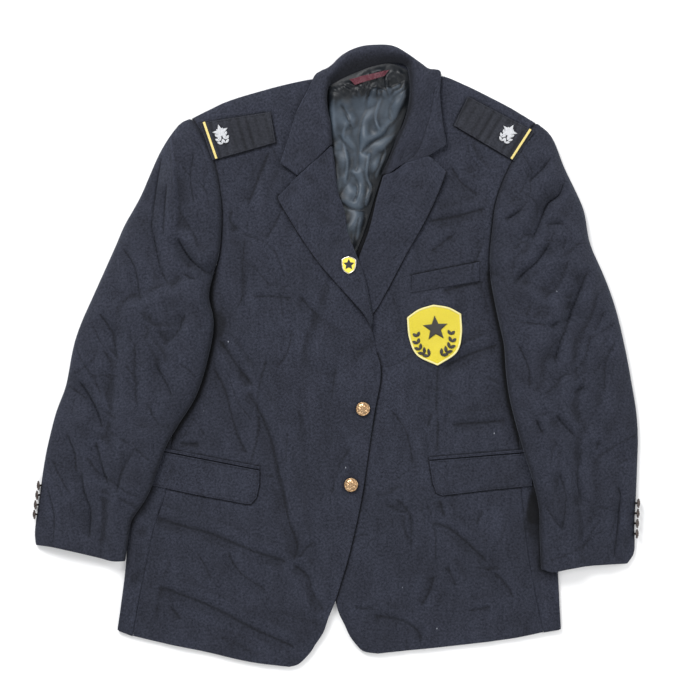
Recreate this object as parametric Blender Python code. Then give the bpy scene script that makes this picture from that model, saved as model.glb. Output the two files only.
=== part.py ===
"""A two-button blazer laid flat on its back, left front over right, sleeves down its sides.

Left and right are as seen from above, with the collar at +Y. All tables are in millimetres in
the layout's own frame, and ORIGIN moves that frame so that the blazer's box is centred on X = Y = 0
with its underside at Z = 0. Cloth is a closed wall: a panel is a flat outline with a lower and an
upper height, and a sleeve, a side panel, a lapel and the collar are sections swept along the piece.
"""
import bpy
import math
import numpy as np
from mathutils import Vector
from mathutils.geometry import delaunay_2d_cdt

MM = 0.001
ORIGIN = (-0.7, 0.2)

# Walls, and the gap kept between two pieces.
WOOL = 1.6
FRONTED = 2.4
LINED = 1.0
LAPEL_WALL = 2.2
COLLAR_WALL = 2.2
SEAM = 0.25
GAP = 0.4

# Spacing of the points of a panel, and how far a raised area reaches past what it covers.
PANEL_STEP = 21.0
UNDER_STEP = 26.0
BACK_STEP = 34.0
TRIM_STEP = 9.0
COVER = 15.0
RAMP = 20.0

# Heights of the layers on the floor.
BACK_OVER_FALL = 2.75
FRONT_FLOOR = 4.2
DEEPEST_TROUGH = 2.0
LEFT_OVER_RIGHT = FRONTED + GAP
LEFT_OVER_LAPEL = LAPEL_WALL + 2 * GAP
SLEEVE_EDGE = 3.4
LAPEL_AT_GORGE = 12.5
LAPEL_FROM = 0.15
ROLL_ROOM = 4.2
STAND_OFF = 7.0
STAND_OFF_AT = 0.27
SHOULDER_SWELL = 5.5
ARMHOLE_REACH = 34

# Edges of the pieces, as (x, y) down or along the piece.
LEFT_EDGE = [(54, 3), (58.5, -11), (58.5, -35), (51, -74), (44, -121), (33, -194), (18, -262),
             (6, -304), (-3, -333)]
LEFT_CUTAWAY = [(-3, -333), (-11, -352), (-18, -372), (-29, -389), (-36, -400), (-51, -415),
                (-64, -419)]
LEFT_HEM = [(-64, -419), (-118, -412), (-184, -397), (-229, -388), (-275, -377)]
LEFT_SIDE_HEM = [(-275, -377), (-291, -373), (-296, -369)]
RIGHT_EDGE = [(-11, 8), (-15, -40), (-15, -80), (-12, -150), (-8, -230), (-8, -290), (-1.5, -334)]
RIGHT_CUTAWAY = [(-1.5, -334), (3, -348), (10, -362), (17, -377), (26, -389), (36, -398),
                 (55, -401)]
RIGHT_HEM = [(55, -401), (84, -398), (162, -390), (234, -381), (278, -372)]
RIGHT_SIDE_HEM = [(278, -372), (290, -370), (302, -368)]

LEFT_ROLL = [(54, 3), (51, 24), (45, 68), (35, 111), (19, 154), (9.5, 196), (1, 221), (-4, 262),
             (-7, 283)]
RIGHT_ROLL = [(-11, 8), (8, 66), (29, 129), (44, 170), (54, 211), (63, 243)]
LEFT_LAPEL_EDGE = [(54, 3), (50, 28), (39, 53), (23, 72), (-2, 100), (-24, 126), (-49, 162),
                   (-77, 207), (-77.5, 216)]
RIGHT_LAPEL_EDGE = [(-11, 8), (12, 30), (47, 57), (66, 87), (92, 136), (118, 182), (135, 218),
                    (146, 247)]
LEFT_GORGE = [(-7, 283), (-30, 262), (-53, 241), (-65, 228), (-77.5, 216)]
RIGHT_GORGE = [(63, 243), (76, 247), (90, 258), (106, 263.5), (122, 267.5), (134, 258),
               (146, 247)]

LEFT_NECK = [(-10.5, 283), (-15.5, 298), (-18, 314), (-20.5, 332), (-21, 350), (-20, 362),
             (-24, 374)]
RIGHT_NECK = [(66, 242), (74, 266), (84, 292), (93, 316), (98, 334), (102, 352), (105, 366),
              (113, 373)]
LEFT_SHOULDER = [(-24, 374), (-51, 370), (-96, 359), (-145, 344), (-172, 332), (-196, 320)]
RIGHT_SHOULDER = [(113, 373), (131, 377), (147, 376), (171, 366), (198, 353), (231, 336),
                  (258, 320), (268, 314)]
LEFT_ARMHOLE = [(-196, 320), (-185, 303), (-166, 262), (-157, 216), (-155, 185), (-158, 140),
                (-166, 111)]
RIGHT_ARMHOLE = [(268, 314), (258, 303), (246, 283), (236, 261), (222, 231), (213, 201), (209, 170),
                 (206, 140), (206, 111)]
LEFT_UNDERARM = [(-166, 111), (-178, 90), (-208, 68)]
RIGHT_UNDERARM = [(206, 111), (216, 90), (236, 70)]
LEFT_PANEL_SEAM = [(-208, 68), (-215, 0), (-222, -100), (-230, -180), (-247, -234), (-262, -306),
                   (-275, -377)]
RIGHT_PANEL_SEAM = [(236, 70), (240, 0), (245, -100), (250, -200), (257, -262), (267, -320),
                    (278, -372)]
LEFT_SIDE = [(-262, 50), (-272, -60), (-279, -180), (-284, -274), (-291, -334), (-296, -369)]
RIGHT_SIDE = [(283, 52), (288, -60), (291, -180), (297, -274), (300, -334), (302, -368)]
LEFT_BACK_SEAM = [(-214, 46), (-222, -100), (-228, -200), (-236, -300), (-241, -356)]
RIGHT_BACK_SEAM = [(238, 46), (242, -100), (246, -200), (249, -300), (251, -356)]

# The outer edge and the fold beside the body, from armhole to cuff, and the cuff between them.
LEFT_SLEEVE_OUTER = [(-196, 320), (-214, 309), (-238, 273), (-263, 216), (-284, 178), (-298, 146),
                     (-325, 86), (-351, 24), (-364, -39), (-378, -78), (-392, -136), (-400, -192),
                     (-406, -233), (-405, -254)]
LEFT_SLEEVE_INNER = [(-166, 111), (-172, 80), (-166, 42), (-175, -8), (-190, -54), (-214, -93),
                     (-232, -126), (-252, -182), (-271, -212), (-278, -226), (-283, -262),
                     (-285, -275)]
LEFT_CUFF = [(-405, -254), (-383, -256), (-346, -264), (-304, -274), (-285, -275)]
RIGHT_SLEEVE_OUTER = [(268, 314), (289, 294), (306, 252), (331, 198), (340, 152), (364, 95),
                      (379, 47), (394, -24), (404, -93), (403, -165), (400, -225), (400, -262),
                      (391, -279)]
RIGHT_SLEEVE_INNER = [(206, 111), (211, 80), (218, 47), (225, 15), (228, -24), (234, -63),
                      (250, -123), (263, -165), (272, -205), (273, -240), (275, -286)]
RIGHT_CUFF = [(391, -279), (356, -280), (315, -284), (290, -289), (275, -286)]

BACK_NECK_LEFT = [(-24, 374), (-19, 362), (-9, 361.5), (7, 371), (28, 380), (39, 384.4)]
BACK_NECK_RIGHT = [(39, 384.4), (50, 388), (72, 392), (86, 390), (95, 383), (103, 375),
                   (113, 373)]
CENTRE_BACK = [(39, 384.4), (30, 200), (20, 0), (10, -200), (4, -329)]
BACK_HEM_LEFT = [(4, -329), (-80, -334), (-160, -344), (-241, -356)]
BACK_HEM_RIGHT = [(4, -329), (90, -334), (170, -344), (251, -356)]

# Heights of the front's face along the armhole seam: (y, height).
ARMHOLE_HEIGHT = [(100, 7.0), (130, 8.2), (165, 9.6), (216, 11.0), (262, 11.5), (296, 9.5),
                  (308, 7.0), (320, 4.5)]

# Sections of a sleeve: (share of the length from the shoulder, height, width that turns under
# the outer edge, width that turns under the inner edge).
SLEEVE_SECTIONS = [(0.0, 16.0, 1.6, 1.6), (0.1, 22.0, 7.0, 2.0), (0.25, 26.0, 17.0, 2.0),
                   (0.39, 25.0, 19.0, 2.0), (0.5, 22.0, 20.0, 17.0), (0.75, 17.0, 20.0, 20.0),
                   (1.0, 12.5, 18.0, 18.0)]
ARMHOLE_SHARE = 0.37
SLEEVE_FROM = 0.03
ARMHOLE_GAP = 1.6
SEAM_TURN = 2.6
SIDE_ROWS = 13
LAPEL_ROWS = 18
SLEEVE_ROWS = 23
SLEEVE_COLUMNS = 11

# Collar sections from the left gorge round the neck to the right one. Each has six points
# (x, y, z): neck seam, stand, roll, turn, middle of the leaf (the notch at an end), outer edge.
COLLAR_SECTIONS = [
    ((-9, 281, 8.3), (-7, 285, 11), (-12, 281, 14),
     (-28, 265, 13.4), (-53, 243, 12.6), (-75.5, 259.5, 12)),
    ((-12, 296, 8.3), (-8, 296, 11.5), (-13, 297, 15.5),
     (-27, 293, 14.8), (-46, 283, 13.4), (-66, 288, 12.2)),
    ((-14, 312, 8.3), (-9, 312, 12), (-14, 313, 16.3),
     (-27, 313, 15.4), (-42, 312, 13.8), (-59, 311, 12.4)),
    ((-17, 330, 8.3), (-13, 330, 12), (-18, 331, 16.5),
     (-28, 331, 15.6), (-39, 331, 14.0), (-52, 331, 12.5)),
    ((-18, 350, 8.2), (-14, 351, 12), (-18, 353, 16.2),
     (-24, 355, 15.3), (-31, 357, 14), (-38, 358, 12.4)),
    ((-14, 361, 6.6), (-11, 366, 11), (-13, 374, 15.5),
     (-18, 379, 12.5), (-23, 380, 9.4), (-28, 379, 6.6)),
    ((-7, 366, 5.2), (-7, 372, 9.5), (-5, 382, 14.5),
     (-7, 390, 9), (-13, 387, 3.4), (-16, 380, 1.4)),
    ((8, 374, 4.8), (8, 383, 9), (8, 397, 13.5),
     (8, 404.5, 7.5), (8, 397, 1.5), (10, 375, 1.2)),
    ((28, 383, 4.8), (28, 393, 9), (28, 407, 12.5),
     (28, 414.5, 6.5), (29, 405, 1.4), (32, 376, 1.2)),
    ((50, 391, 4.8), (50, 399, 8.5), (50, 411, 12),
     (50, 418, 6.2), (50, 409, 1.4), (52, 377, 1.2)),
    ((72, 395, 4.8), (73, 401, 8.5), (75, 410, 12.5),
     (77, 416, 6.5), (76, 407, 1.4), (74, 377, 1.2)),
    ((92, 392, 5.6), (95, 396, 10), (97, 402, 14.5),
     (102, 400, 7.5), (99, 393, 1.6), (96, 377, 1.2)),
    ((98, 376, 7.0), (99, 380, 11.5), (106, 386, 16),
     (118, 388, 10.5), (124, 386, 5), (127, 383, 1.8)),
    ((99, 355, 8.2), (100, 358, 12), (107, 362, 17),
     (121, 373, 14.5), (133, 381, 11), (139, 382, 8.5)),
    ((96, 335, 8.3), (99, 336, 12.5), (105, 338, 17),
     (116, 343, 15.8), (127, 348, 14), (138, 353, 12.4)),
    ((90, 314, 8.3), (94, 315, 12), (99, 316, 16.5),
     (111, 318, 15.4), (125, 321, 13.8), (140.5, 323, 12.4)),
    ((80, 292, 8.3), (85, 294, 11.5), (90, 295, 15.5),
     (104, 297, 14.8), (122, 297, 13.6), (144, 300, 12.2)),
    ((71, 268, 8.3), (75, 270, 11), (80, 272, 14.5),
     (97, 279, 14), (122, 281, 13.2), (146, 290, 12.2)),
    ((61, 246, 8.3), (64, 247, 10.5), (70, 249.5, 13.5),
     (90, 262, 13.2), (122, 270.5, 12.6), (145.5, 283, 12)),
]
COLLAR_ROWS = 39
COLLAR_SPANS = (1, 2, 3, 2, 2)

# Largest folds: (points, depth, half-width). A trough is positive, a ridge negative.
LEFT_FOLDS = [
    ([(-90, 279), (-104, 246), (-122, 199)], 2.0, 13),
    ([(-123, 167), (-127, 126), (-128, 80), (-139, 59)], 2.2, 17),
    ([(-54, 84), (-22, 50), (18, 26)], 2.0, 13),
    ([(-154, 20), (-123, -26)], -2.4, 15),
    ([(-123, -45), (-103, -78), (-88, -120), (-76, -171), (-66, -219), (-54, -255), (-60, -279)], 2.6, 15),
    ([(-61, -279), (-39, -298), (-33, -319), (-15, -346)], 2.0, 12),
    ([(-258, -213), (-214, -228), (-171, -240), (-108, -265), (-63, -279)], 2.3, 13),
    ([(-244, -310), (-193, -328), (-154, -346), (-108, -370), (-54, -394)], 2.3, 13),
]
RIGHT_FOLDS = [
    ([(118, 181), (150, 185), (204, 199)], 2.0, 13),
    ([(138, 86), (170, 94), (204, 100)], 2.0, 13),
    ([(138, -19), (180, 2), (225, 17)], 2.2, 14),
    ([(150, -93), (186, -91), (234, -86)], 1.8, 12),
    ([(123, -225), (153, -234), (204, -279)], 2.2, 14),
    ([(132, -292), (111, -340)], 2.0, 13),
]
LEFT_SLEEVE_FOLDS = [
    ([(-215, 161), (-196, 130), (-169, 107)], 5.0, 12),
    ([(-234, 276), (-247, 185), (-244, 155), (-235, 116), (-223, 92)], 4.0, 17),
    ([(-347, -30), (-325, -66), (-313, -99)], 3.5, 14),
    ([(-324, -111), (-315, -147), (-306, -174)], 3.0, 13),
    ([(-343, -153), (-335, -195), (-333, -250)], 3.0, 14),
    ([(-244, -8), (-217, -59)], 3.0, 14),
]
RIGHT_SLEEVE_FOLDS = [
    ([(306, 240), (298, 216), (283, 204), (271, 177), (259, 150)], 5.0, 13),
    ([(234, 92), (250, 111), (267, 126), (286, 153)], 4.0, 13),
    ([(337, 119), (319, 72), (301, 26), (289, -16)], 4.0, 15),
    ([(289, -74), (321, -111)], 3.0, 14),
    ([(352, -108), (375, -173), (378, -225), (372, -273)], 2.8, 13),
]

# Trim. Flaps and welt by their corners, buttons by their centres.
LEFT_FLAP = [(-255, -125), (-104, -154), (-104, -172), (-108, -191), (-116, -199.5), (-124, -199),
             (-189, -187), (-250, -174)]
RIGHT_FLAP = [(124, -141), (261, -130), (263, -175), (208, -180), (142, -188), (134, -185),
              (129, -172)]
LEFT_JET = [(-252, -120), (-104, -148.5), (-104, -153), (-254, -124)]
RIGHT_JET = [(124, -136), (259, -125), (260, -129), (124, -140)]
BREAST_WELT = [(100, 85), (192, 101), (192, 127), (101, 109)]
FRONT_BUTTONS = {"front_button_upper": (35, -71), "front_button_lower": (19, -173)}
CUFF_BUTTONS_LEFT = [(-399.5, -174), (-401.5, -187), (-403.5, -200), (-405, -213)]
CUFF_BUTTONS_RIGHT = [(403.6, -198), (402.9, -211.5), (402.2, -225), (401.7, -239)]
LEFT_MARK = [(-181, 313), (-166, 262), (-82, 287), (-89, 328)]
RIGHT_MARK = [(176, 349), (157, 310), (237, 261), (262, 303)]
LEFT_BAR = [(-180, 313), (-176.5, 314), (-161.5, 264), (-165, 263)]
RIGHT_BAR = [(261, 303), (258, 305), (233, 264), (236, 262)]
LEFT_BADGE = (-155, 297)
RIGHT_BADGE = (229.5, 298)
PATCH_CENTRE = (132.5, 28)
PATCH_TILT = math.radians(4)
PIN_CENTRE = (16, 121.5)
LABEL = [(16, 372), (24, 363.5), (64, 376), (71, 385)]
JET_WALL = 1.0
WELT_WALL = 1.2
MARK_WALL = 1.8
BRAID_WALL = 0.8
BADGE_WALL = 1.2
PATCH_WALL = 1.6
PIN_WALL = 1.8
LABEL_WALL = 0.6
CUFF_BUTTON_HEIGHT = 8.6
CUFF_SHANK = 2.5


# --- curves and distances ---------------------------------------------------------------------

DRAWN = {}


def ease(t):
    """0 to 1, level at both ends."""
    t = np.clip(t, 0, 1)
    return t * t * (3 - 2 * t)


def smooth(points, step):
    """Points a step apart, on a curve through the given ones."""
    key = (tuple(map(tuple, points)), step)
    if key not in DRAWN:
        DRAWN[key] = drawn(points, step)
    return DRAWN[key]


def drawn(points, step):
    p = np.array(points, float)
    ends = [2 * p[0] - p[1], *p, 2 * p[-1] - p[-2]]
    fine = []
    for a, b, c, d in zip(ends, ends[1:], ends[2:], ends[3:]):
        for t in np.linspace(0, 1, 24, endpoint=False):
            fine.append(0.5 * (2 * b + (c - a) * t + (2 * a - 5 * b + 4 * c - d) * t ** 2
                               + (3 * b - a - 3 * c + d) * t ** 3))
    fine = np.array([*fine, p[-1]])
    along = np.concatenate([[0], np.cumsum(np.linalg.norm(np.diff(fine, axis=0), axis=1))])
    count = max(1, round(along[-1] / step))
    return np.stack([np.interp(np.linspace(0, along[-1], count + 1), along, fine[:, k])
                     for k in range(p.shape[1])], axis=1)


def shares(points, where):
    """The points at these shares, 0 to 1, of a smooth curve's length."""
    fine = smooth(points, 1.5)
    along = np.concatenate([[0], np.cumsum(np.linalg.norm(np.diff(fine, axis=0), axis=1))])
    return np.stack([np.interp(np.asarray(where) * along[-1], along, fine[:, k])
                     for k in range(fine.shape[1])], axis=1)


def outline(edges, step):
    """One closed ring through edges that meet end to start; (edge, -1) runs backwards."""
    ring = []
    for edge in edges:
        curve = smooth(edge[0], step)[::-1] if isinstance(edge, tuple) else smooth(edge, step)
        ring.extend(curve[:-1])
    return np.array(ring)


def beside(points, by, begins):
    """A curve moved sideways, from nothing at its start to the whole at this share."""
    fine = shares(points, np.linspace(0, 1, 12))
    way = np.gradient(fine, axis=0)
    way /= np.linalg.norm(way, axis=1)[:, None]
    whole = ease((np.linspace(0, 1, 12) - begins + 0.1) / 0.1)[:, None]
    return [tuple(p) for p in fine + np.stack([-way[:, 1], way[:, 0]], axis=1) * by * whole]


def polygon(corners, step):
    """A ring with straight sides and points about a step apart."""
    ring = []
    for a, b in zip(corners, corners[1:] + corners[:1]):
        a, b = np.array(a, float), np.array(b, float)
        count = max(1, round(np.linalg.norm(b - a) / step))
        ring.extend(a + (b - a) * k / count for k in range(count))
    return np.array(ring)


def to_line(xy, line):
    """Distance of each point from a line of points."""
    xy, line = np.atleast_2d(xy), np.asarray(line, float)
    start, run = line[:-1], np.diff(line, axis=0)
    apart = xy[:, None] - start
    share = np.clip((apart * run).sum(axis=2) / np.maximum((run ** 2).sum(axis=1), 1e-9), 0, 1)
    return np.linalg.norm(apart - share[..., None] * run, axis=2).min(axis=1)


def inside(xy, ring):
    """Whether each point is inside a ring."""
    x, y = np.atleast_2d(xy).T[..., None]
    (x0, y0), (x1, y1) = ring.T, np.roll(ring, -1, axis=0).T
    rise = np.where(y1 == y0, 1e-9, y1 - y0)
    crosses = ((y0 > y) != (y1 > y)) & (x < x0 + (y - y0) * (x1 - x0) / rise)
    return crosses.sum(axis=1) % 2 == 1


def outside_by(xy, ring):
    """How far outside a ring each point is, negative inside it."""
    far = to_line(xy, np.vstack([ring, ring[:1]]))
    return np.where(inside(xy, ring), -far, far)


def rounded(t):
    """A quarter circle: 0 at 0, upright there, and level from 1."""
    return np.sqrt(1 - (1 - np.clip(t, 0, 1)) ** 2)


def over(xy, ring, amount, cover=COVER, ramp=RAMP):
    """The lift of a cloth that passes over a piece with this ring."""
    return amount * ease((cover + ramp - outside_by(xy, ring)) / ramp)


def folds(xy, table):
    """The depth of the folds of a table, fading towards each one's ends."""
    depth = np.zeros(len(xy))
    for path, deep, half in table:
        line = smooth(path, 6.0)
        away = to_line(xy, line)
        from_end = np.minimum(np.linalg.norm(xy - line[0], axis=1),
                              np.linalg.norm(xy - line[-1], axis=1))
        depth += deep * np.exp(-(away / half) ** 2) * (0.35 + 0.65 * ease(from_end / (2 * half)))
    return depth


def shallow(depth):
    """Troughs that cross are no deeper than one."""
    return np.where(depth > 0, DEEPEST_TROUGH * np.tanh(depth / DEEPEST_TROUGH), depth)


def along_table(values, table, column):
    return np.interp(values, [row[0] for row in table], [row[column] for row in table])


# --- layout: rings of the pieces and the heights of their faces --------------------------------

STEP = PANEL_STEP
RINGS = {
    "front_left": outline([(LEFT_HEM, -1), (LEFT_CUTAWAY, -1), (LEFT_EDGE, -1),
                           beside(LEFT_ROLL, ROLL_ROOM, LAPEL_FROM), LEFT_NECK, LEFT_SHOULDER, LEFT_ARMHOLE,
                           LEFT_UNDERARM, LEFT_PANEL_SEAM], STEP),
    "front_right": outline([RIGHT_CUTAWAY, RIGHT_HEM, (RIGHT_PANEL_SEAM, -1),
                            (RIGHT_UNDERARM, -1), (RIGHT_ARMHOLE, -1), (RIGHT_SHOULDER, -1),
                            (RIGHT_NECK, -1),
                            (beside(RIGHT_ROLL, -ROLL_ROOM, LAPEL_FROM), -1), RIGHT_EDGE], STEP),
    "back_left": outline([BACK_NECK_LEFT, CENTRE_BACK, BACK_HEM_LEFT, (LEFT_BACK_SEAM, -1),
                          [(-214, 46), (-192, 66), (-166, 111)], (LEFT_ARMHOLE, -1),
                          (LEFT_SHOULDER, -1)], STEP),
    "back_right": outline([BACK_NECK_RIGHT, RIGHT_SHOULDER, RIGHT_ARMHOLE,
                           [(206, 111), (222, 68), (238, 46)], RIGHT_BACK_SEAM,
                           (BACK_HEM_RIGHT, -1), (CENTRE_BACK, -1)], STEP),
    "side_left": outline([LEFT_PANEL_SEAM, LEFT_SIDE_HEM, (LEFT_SIDE, -1),
                          [(-262, 50), (-208, 68)]], STEP),
    "side_right": outline([RIGHT_PANEL_SEAM, RIGHT_SIDE_HEM, (RIGHT_SIDE, -1),
                           [(283, 52), (236, 70)]], STEP),
    "sleeve_left": outline([LEFT_ARMHOLE, LEFT_SLEEVE_INNER, (LEFT_CUFF, -1),
                            (LEFT_SLEEVE_OUTER, -1)], STEP),
    "sleeve_right": outline([RIGHT_ARMHOLE, RIGHT_SLEEVE_INNER, (RIGHT_CUFF, -1),
                             (RIGHT_SLEEVE_OUTER, -1)], STEP),
    "lapel_right": outline([RIGHT_LAPEL_EDGE, (RIGHT_GORGE, -1), (RIGHT_ROLL, -1)], STEP),
    "flap_left": polygon(LEFT_FLAP, STEP),
    "flap_right": polygon(RIGHT_FLAP, STEP),
    "collar_fall": polygon([(-24, 378), (8, 408), (50, 420), (100, 402), (129, 386), (124, 377),
                            (100, 375), (8, 373)], STEP),
}


def back_floor(xy):
    """The underside of the back: on the floor, and over the collar's fall at the neck."""
    return over(xy, RINGS["collar_fall"], BACK_OVER_FALL, 7.0, 22.0)


def face(xy, side):
    """The face of a front without its folds: a swell at the armhole and along the shoulder."""
    armhole, shoulder, sleeve = {
        "left": (LEFT_ARMHOLE, LEFT_SHOULDER, "sleeve_left"),
        "right": (RIGHT_ARMHOLE, RIGHT_SHOULDER, "sleeve_right")}[side]
    high = np.full(len(xy), FRONT_FLOOR + FRONTED)
    seam = along_table(xy[:, 1], ARMHOLE_HEIGHT, 1) - high
    high += seam * np.exp(-(to_line(xy, smooth(armhole, 8.0)) / ARMHOLE_REACH) ** 2)
    across = to_line(xy, smooth(shoulder, 8.0))
    near_neck = {"left": -30, "right": 140}[side]
    swell = SHOULDER_SWELL * ease(np.abs(xy[:, 0] - near_neck) / 90)
    high += swell * rounded(across / 32) * np.exp(-(across / 75) ** 2)
    high -= 1.3 * (1 - rounded(across / 20))
    return np.maximum(high, back_floor(xy) + WOOL + 2 * GAP + FRONTED)


def shown(xy, side):
    """1 where a front shows beside its sleeve, 0 under the sleeve."""
    return ease((outside_by(xy, RINGS["sleeve_" + side]) - 6) / 22)


def front_right_face(xy):
    return face(xy, "right") - shallow(folds(xy, RIGHT_FOLDS)) * shown(xy, "right")


def front_left_face(xy):
    on_front = over(xy, RINGS["front_right"], 1.0) * ease((290 - xy[:, 1]) / 80)
    on_lapel = over(xy, RINGS["lapel_right"], 1.0) * ease((190 - xy[:, 1]) / 50)
    creases = shallow(folds(xy, LEFT_FOLDS)) * shown(xy, "left")
    return (face(xy, "left") + on_front * LEFT_OVER_RIGHT + on_lapel * LEFT_OVER_LAPEL
            - creases * (1 - on_front * 0.8) * (1 - on_lapel))


def sleeve_floor(xy, side):
    """What a sleeve lies on: the floor, and the side of the body with its pocket flap."""
    body = np.maximum(over(xy, RINGS["front_" + side], 1.0), over(xy, RINGS["side_" + side], 1.0))
    body *= ease((150 - xy[:, 1]) / 34)
    flap = over(xy, RINGS["flap_" + side], WOOL + 2 * GAP)
    return body * (face(xy, side) + 1.5 * GAP + flap)


def lapel_left_face(xy):
    return front_left_face(xy) + GAP + LAPEL_WALL


# --- solids ------------------------------------------------------------------------------------

def material(name, colour, roughness, metallic=0.0):
    made = bpy.data.materials.new(name)
    made.use_nodes = True
    shader = made.node_tree.nodes["Principled BSDF"]
    shader.inputs["Base Color"].default_value = (*colour, 1)
    shader.inputs["Roughness"].default_value = roughness
    shader.inputs["Metallic"].default_value = metallic
    return made


def solid(name, points, faces, finish, sharp=40):
    """One closed mesh from points in millimetres, with its faces pointing out."""
    points = np.asarray(points, float)
    points[:, 2] = np.maximum(points[:, 2], 0.0)
    points = (points - (*ORIGIN, 0)) * MM
    mesh = bpy.data.meshes.new(name)
    mesh.from_pydata([tuple(p) for p in points], [], [tuple(f) for f in faces])
    mesh.update()
    mesh.materials.append(finish)
    triangles = [(f[0], f[k], f[k + 1]) for f in faces for k in range(1, len(f) - 1)]
    if np.linalg.det(points[np.array(triangles)]).sum() < 0:
        mesh.flip_normals()
    mesh.shade_smooth()
    mesh.set_sharp_from_angle(angle=math.radians(sharp))
    made = bpy.data.objects.new(name, mesh)
    bpy.context.scene.collection.objects.link(made)
    return made


def inset(ring, by):
    """A ring moved inwards by a little, for the gap at its seams."""
    area = np.sum(ring[:, 0] * np.roll(ring[:, 1], -1) - np.roll(ring[:, 0], -1) * ring[:, 1])
    way = np.roll(ring, -1, axis=0) - ring
    way /= np.linalg.norm(way, axis=1)[:, None]
    normal = np.stack([-way[:, 1], way[:, 0]], axis=1) * np.sign(area)
    both = normal + np.roll(normal, 1, axis=0)
    both /= np.maximum(np.einsum("ij,ij->i", both, both) / 2, 0.6)[:, None]
    return ring + both * by


def filled(ring, step, knots=()):
    """Points and triangles that fill a ring, about a step apart and through some knots."""
    low, high = ring.min(axis=0), ring.max(axis=0)
    rows = np.arange(low[1], high[1], step * 0.866)
    grid = np.array([(x + (step / 2 if k % 2 else 0), y) for k, y in enumerate(rows)
                     for x in np.arange(low[0], high[0], step)])
    if len(knots):
        grid = np.vstack([grid[to_line(grid, knots) > 0.6 * step], knots])
    grid = grid[outside_by(grid, ring) < -0.6 * min(step, 14)]
    points = [Vector(p) for p in (*ring, *grid)]
    made = delaunay_2d_cdt(points, [], [list(range(len(ring)))], 1, 1e-5)
    return np.array([tuple(p) for p in made[0]]), [list(f) for f in made[2]]


def panel(name, ring, low, high, finish, step=PANEL_STEP, seam=SEAM, knots=()):
    """A flat piece of cloth: a ring filled, between its lower and its upper height."""
    xy, faces = filled(inset(ring, seam), step, knots)
    under = np.column_stack([xy, low(xy)])
    upper = np.column_stack([xy, high(xy)])
    count = len(xy)
    edges = {}
    for f in faces:
        for a, b in zip(f, f[1:] + f[:1]):
            edges[(a, b)] = True
    walls = [(b, a, a + count, b + count) for a, b in edges if (b, a) not in edges]
    upside = [[k + count for k in f] for f in faces]
    return solid(name, np.vstack([under, upper]), [f[::-1] for f in faces] + upside
                 + [w[::-1] for w in walls], finish)


def wall(name, grid, thick, finish, sharp=50):
    """A closed wall of this thickness round a grid of points, rows by columns."""
    rows, columns = grid.shape[:2]
    down, across = np.gradient(grid, axis=0), np.gradient(grid, axis=1)
    normal = np.cross(down, across)
    normal /= np.maximum(np.linalg.norm(normal, axis=2), 1e-9)[..., None]
    points = np.concatenate([(grid + normal * thick / 2).reshape(-1, 3),
                             (grid - normal * thick / 2).reshape(-1, 3)])
    half = rows * columns

    def at(r, c, other=0):
        return r * columns + c + other * half

    faces = []
    for r in range(rows - 1):
        for c in range(columns - 1):
            faces.append((at(r, c), at(r + 1, c), at(r + 1, c + 1), at(r, c + 1)))
            faces.append((at(r, c, 1), at(r, c + 1, 1), at(r + 1, c + 1, 1), at(r + 1, c, 1)))
    for r in range(rows - 1):
        for c, turn in ((0, 1), (columns - 1, -1)):
            faces.append((at(r, c), at(r, c, 1), at(r + 1, c, 1), at(r + 1, c))[::turn])
    for c in range(columns - 1):
        for r, turn in ((0, -1), (rows - 1, 1)):
            faces.append((at(r, c), at(r, c, 1), at(r, c + 1, 1), at(r, c + 1))[::turn])
    return solid(name, points, faces, finish, sharp)


def lying_on(surface, lift, reach=5.0):
    """The height of a piece that lies on a surface: its highest point near by, moved out."""
    around = [(0, 0)] + [(reach * math.cos(a), reach * math.sin(a))
                         for a in np.linspace(0, 2 * math.pi, 8, endpoint=False)]
    return lambda xy: np.max([surface(xy + offset) for offset in around], axis=0) + lift


def turned(name, profile, place, finish, sides=20, axis=(0, 0, 1)):
    """A turned piece: (radius, height) from the foot's centre out and up to the top's centre."""
    points, faces, rings = [], [], []
    turn = Vector((0, 0, 1)).rotation_difference(Vector(axis)).to_matrix()
    for radius, height in profile:
        count = sides if radius > 0 else 1
        rings.append(list(range(len(points), len(points) + count)))
        for k in range(count):
            angle = 2 * math.pi * k / sides
            spot = Vector((radius * math.cos(angle), radius * math.sin(angle), height))
            points.append(tuple(turn @ spot + Vector(place)))
    for low, high in zip(rings, rings[1:]):
        for k in range(sides):
            a, b = low[k % len(low)], low[(k + 1) % len(low)]
            c, d = high[(k + 1) % len(high)], high[k % len(high)]
            faces.append(tuple(dict.fromkeys((a, b, c, d))))
    return solid(name, points, faces, finish, 35)


# --- pieces ------------------------------------------------------------------------------------

def make_backs(wool):
    rim = inset(RINGS["collar_fall"], -5)
    foot = inset(RINGS["collar_fall"], -30)
    for side in ("left", "right"):
        panel("back_" + side, RINGS["back_" + side], back_floor,
              lambda xy: back_floor(xy) + WOOL, wool, BACK_STEP, 3 * SEAM, np.vstack([rim, foot]))


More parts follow.
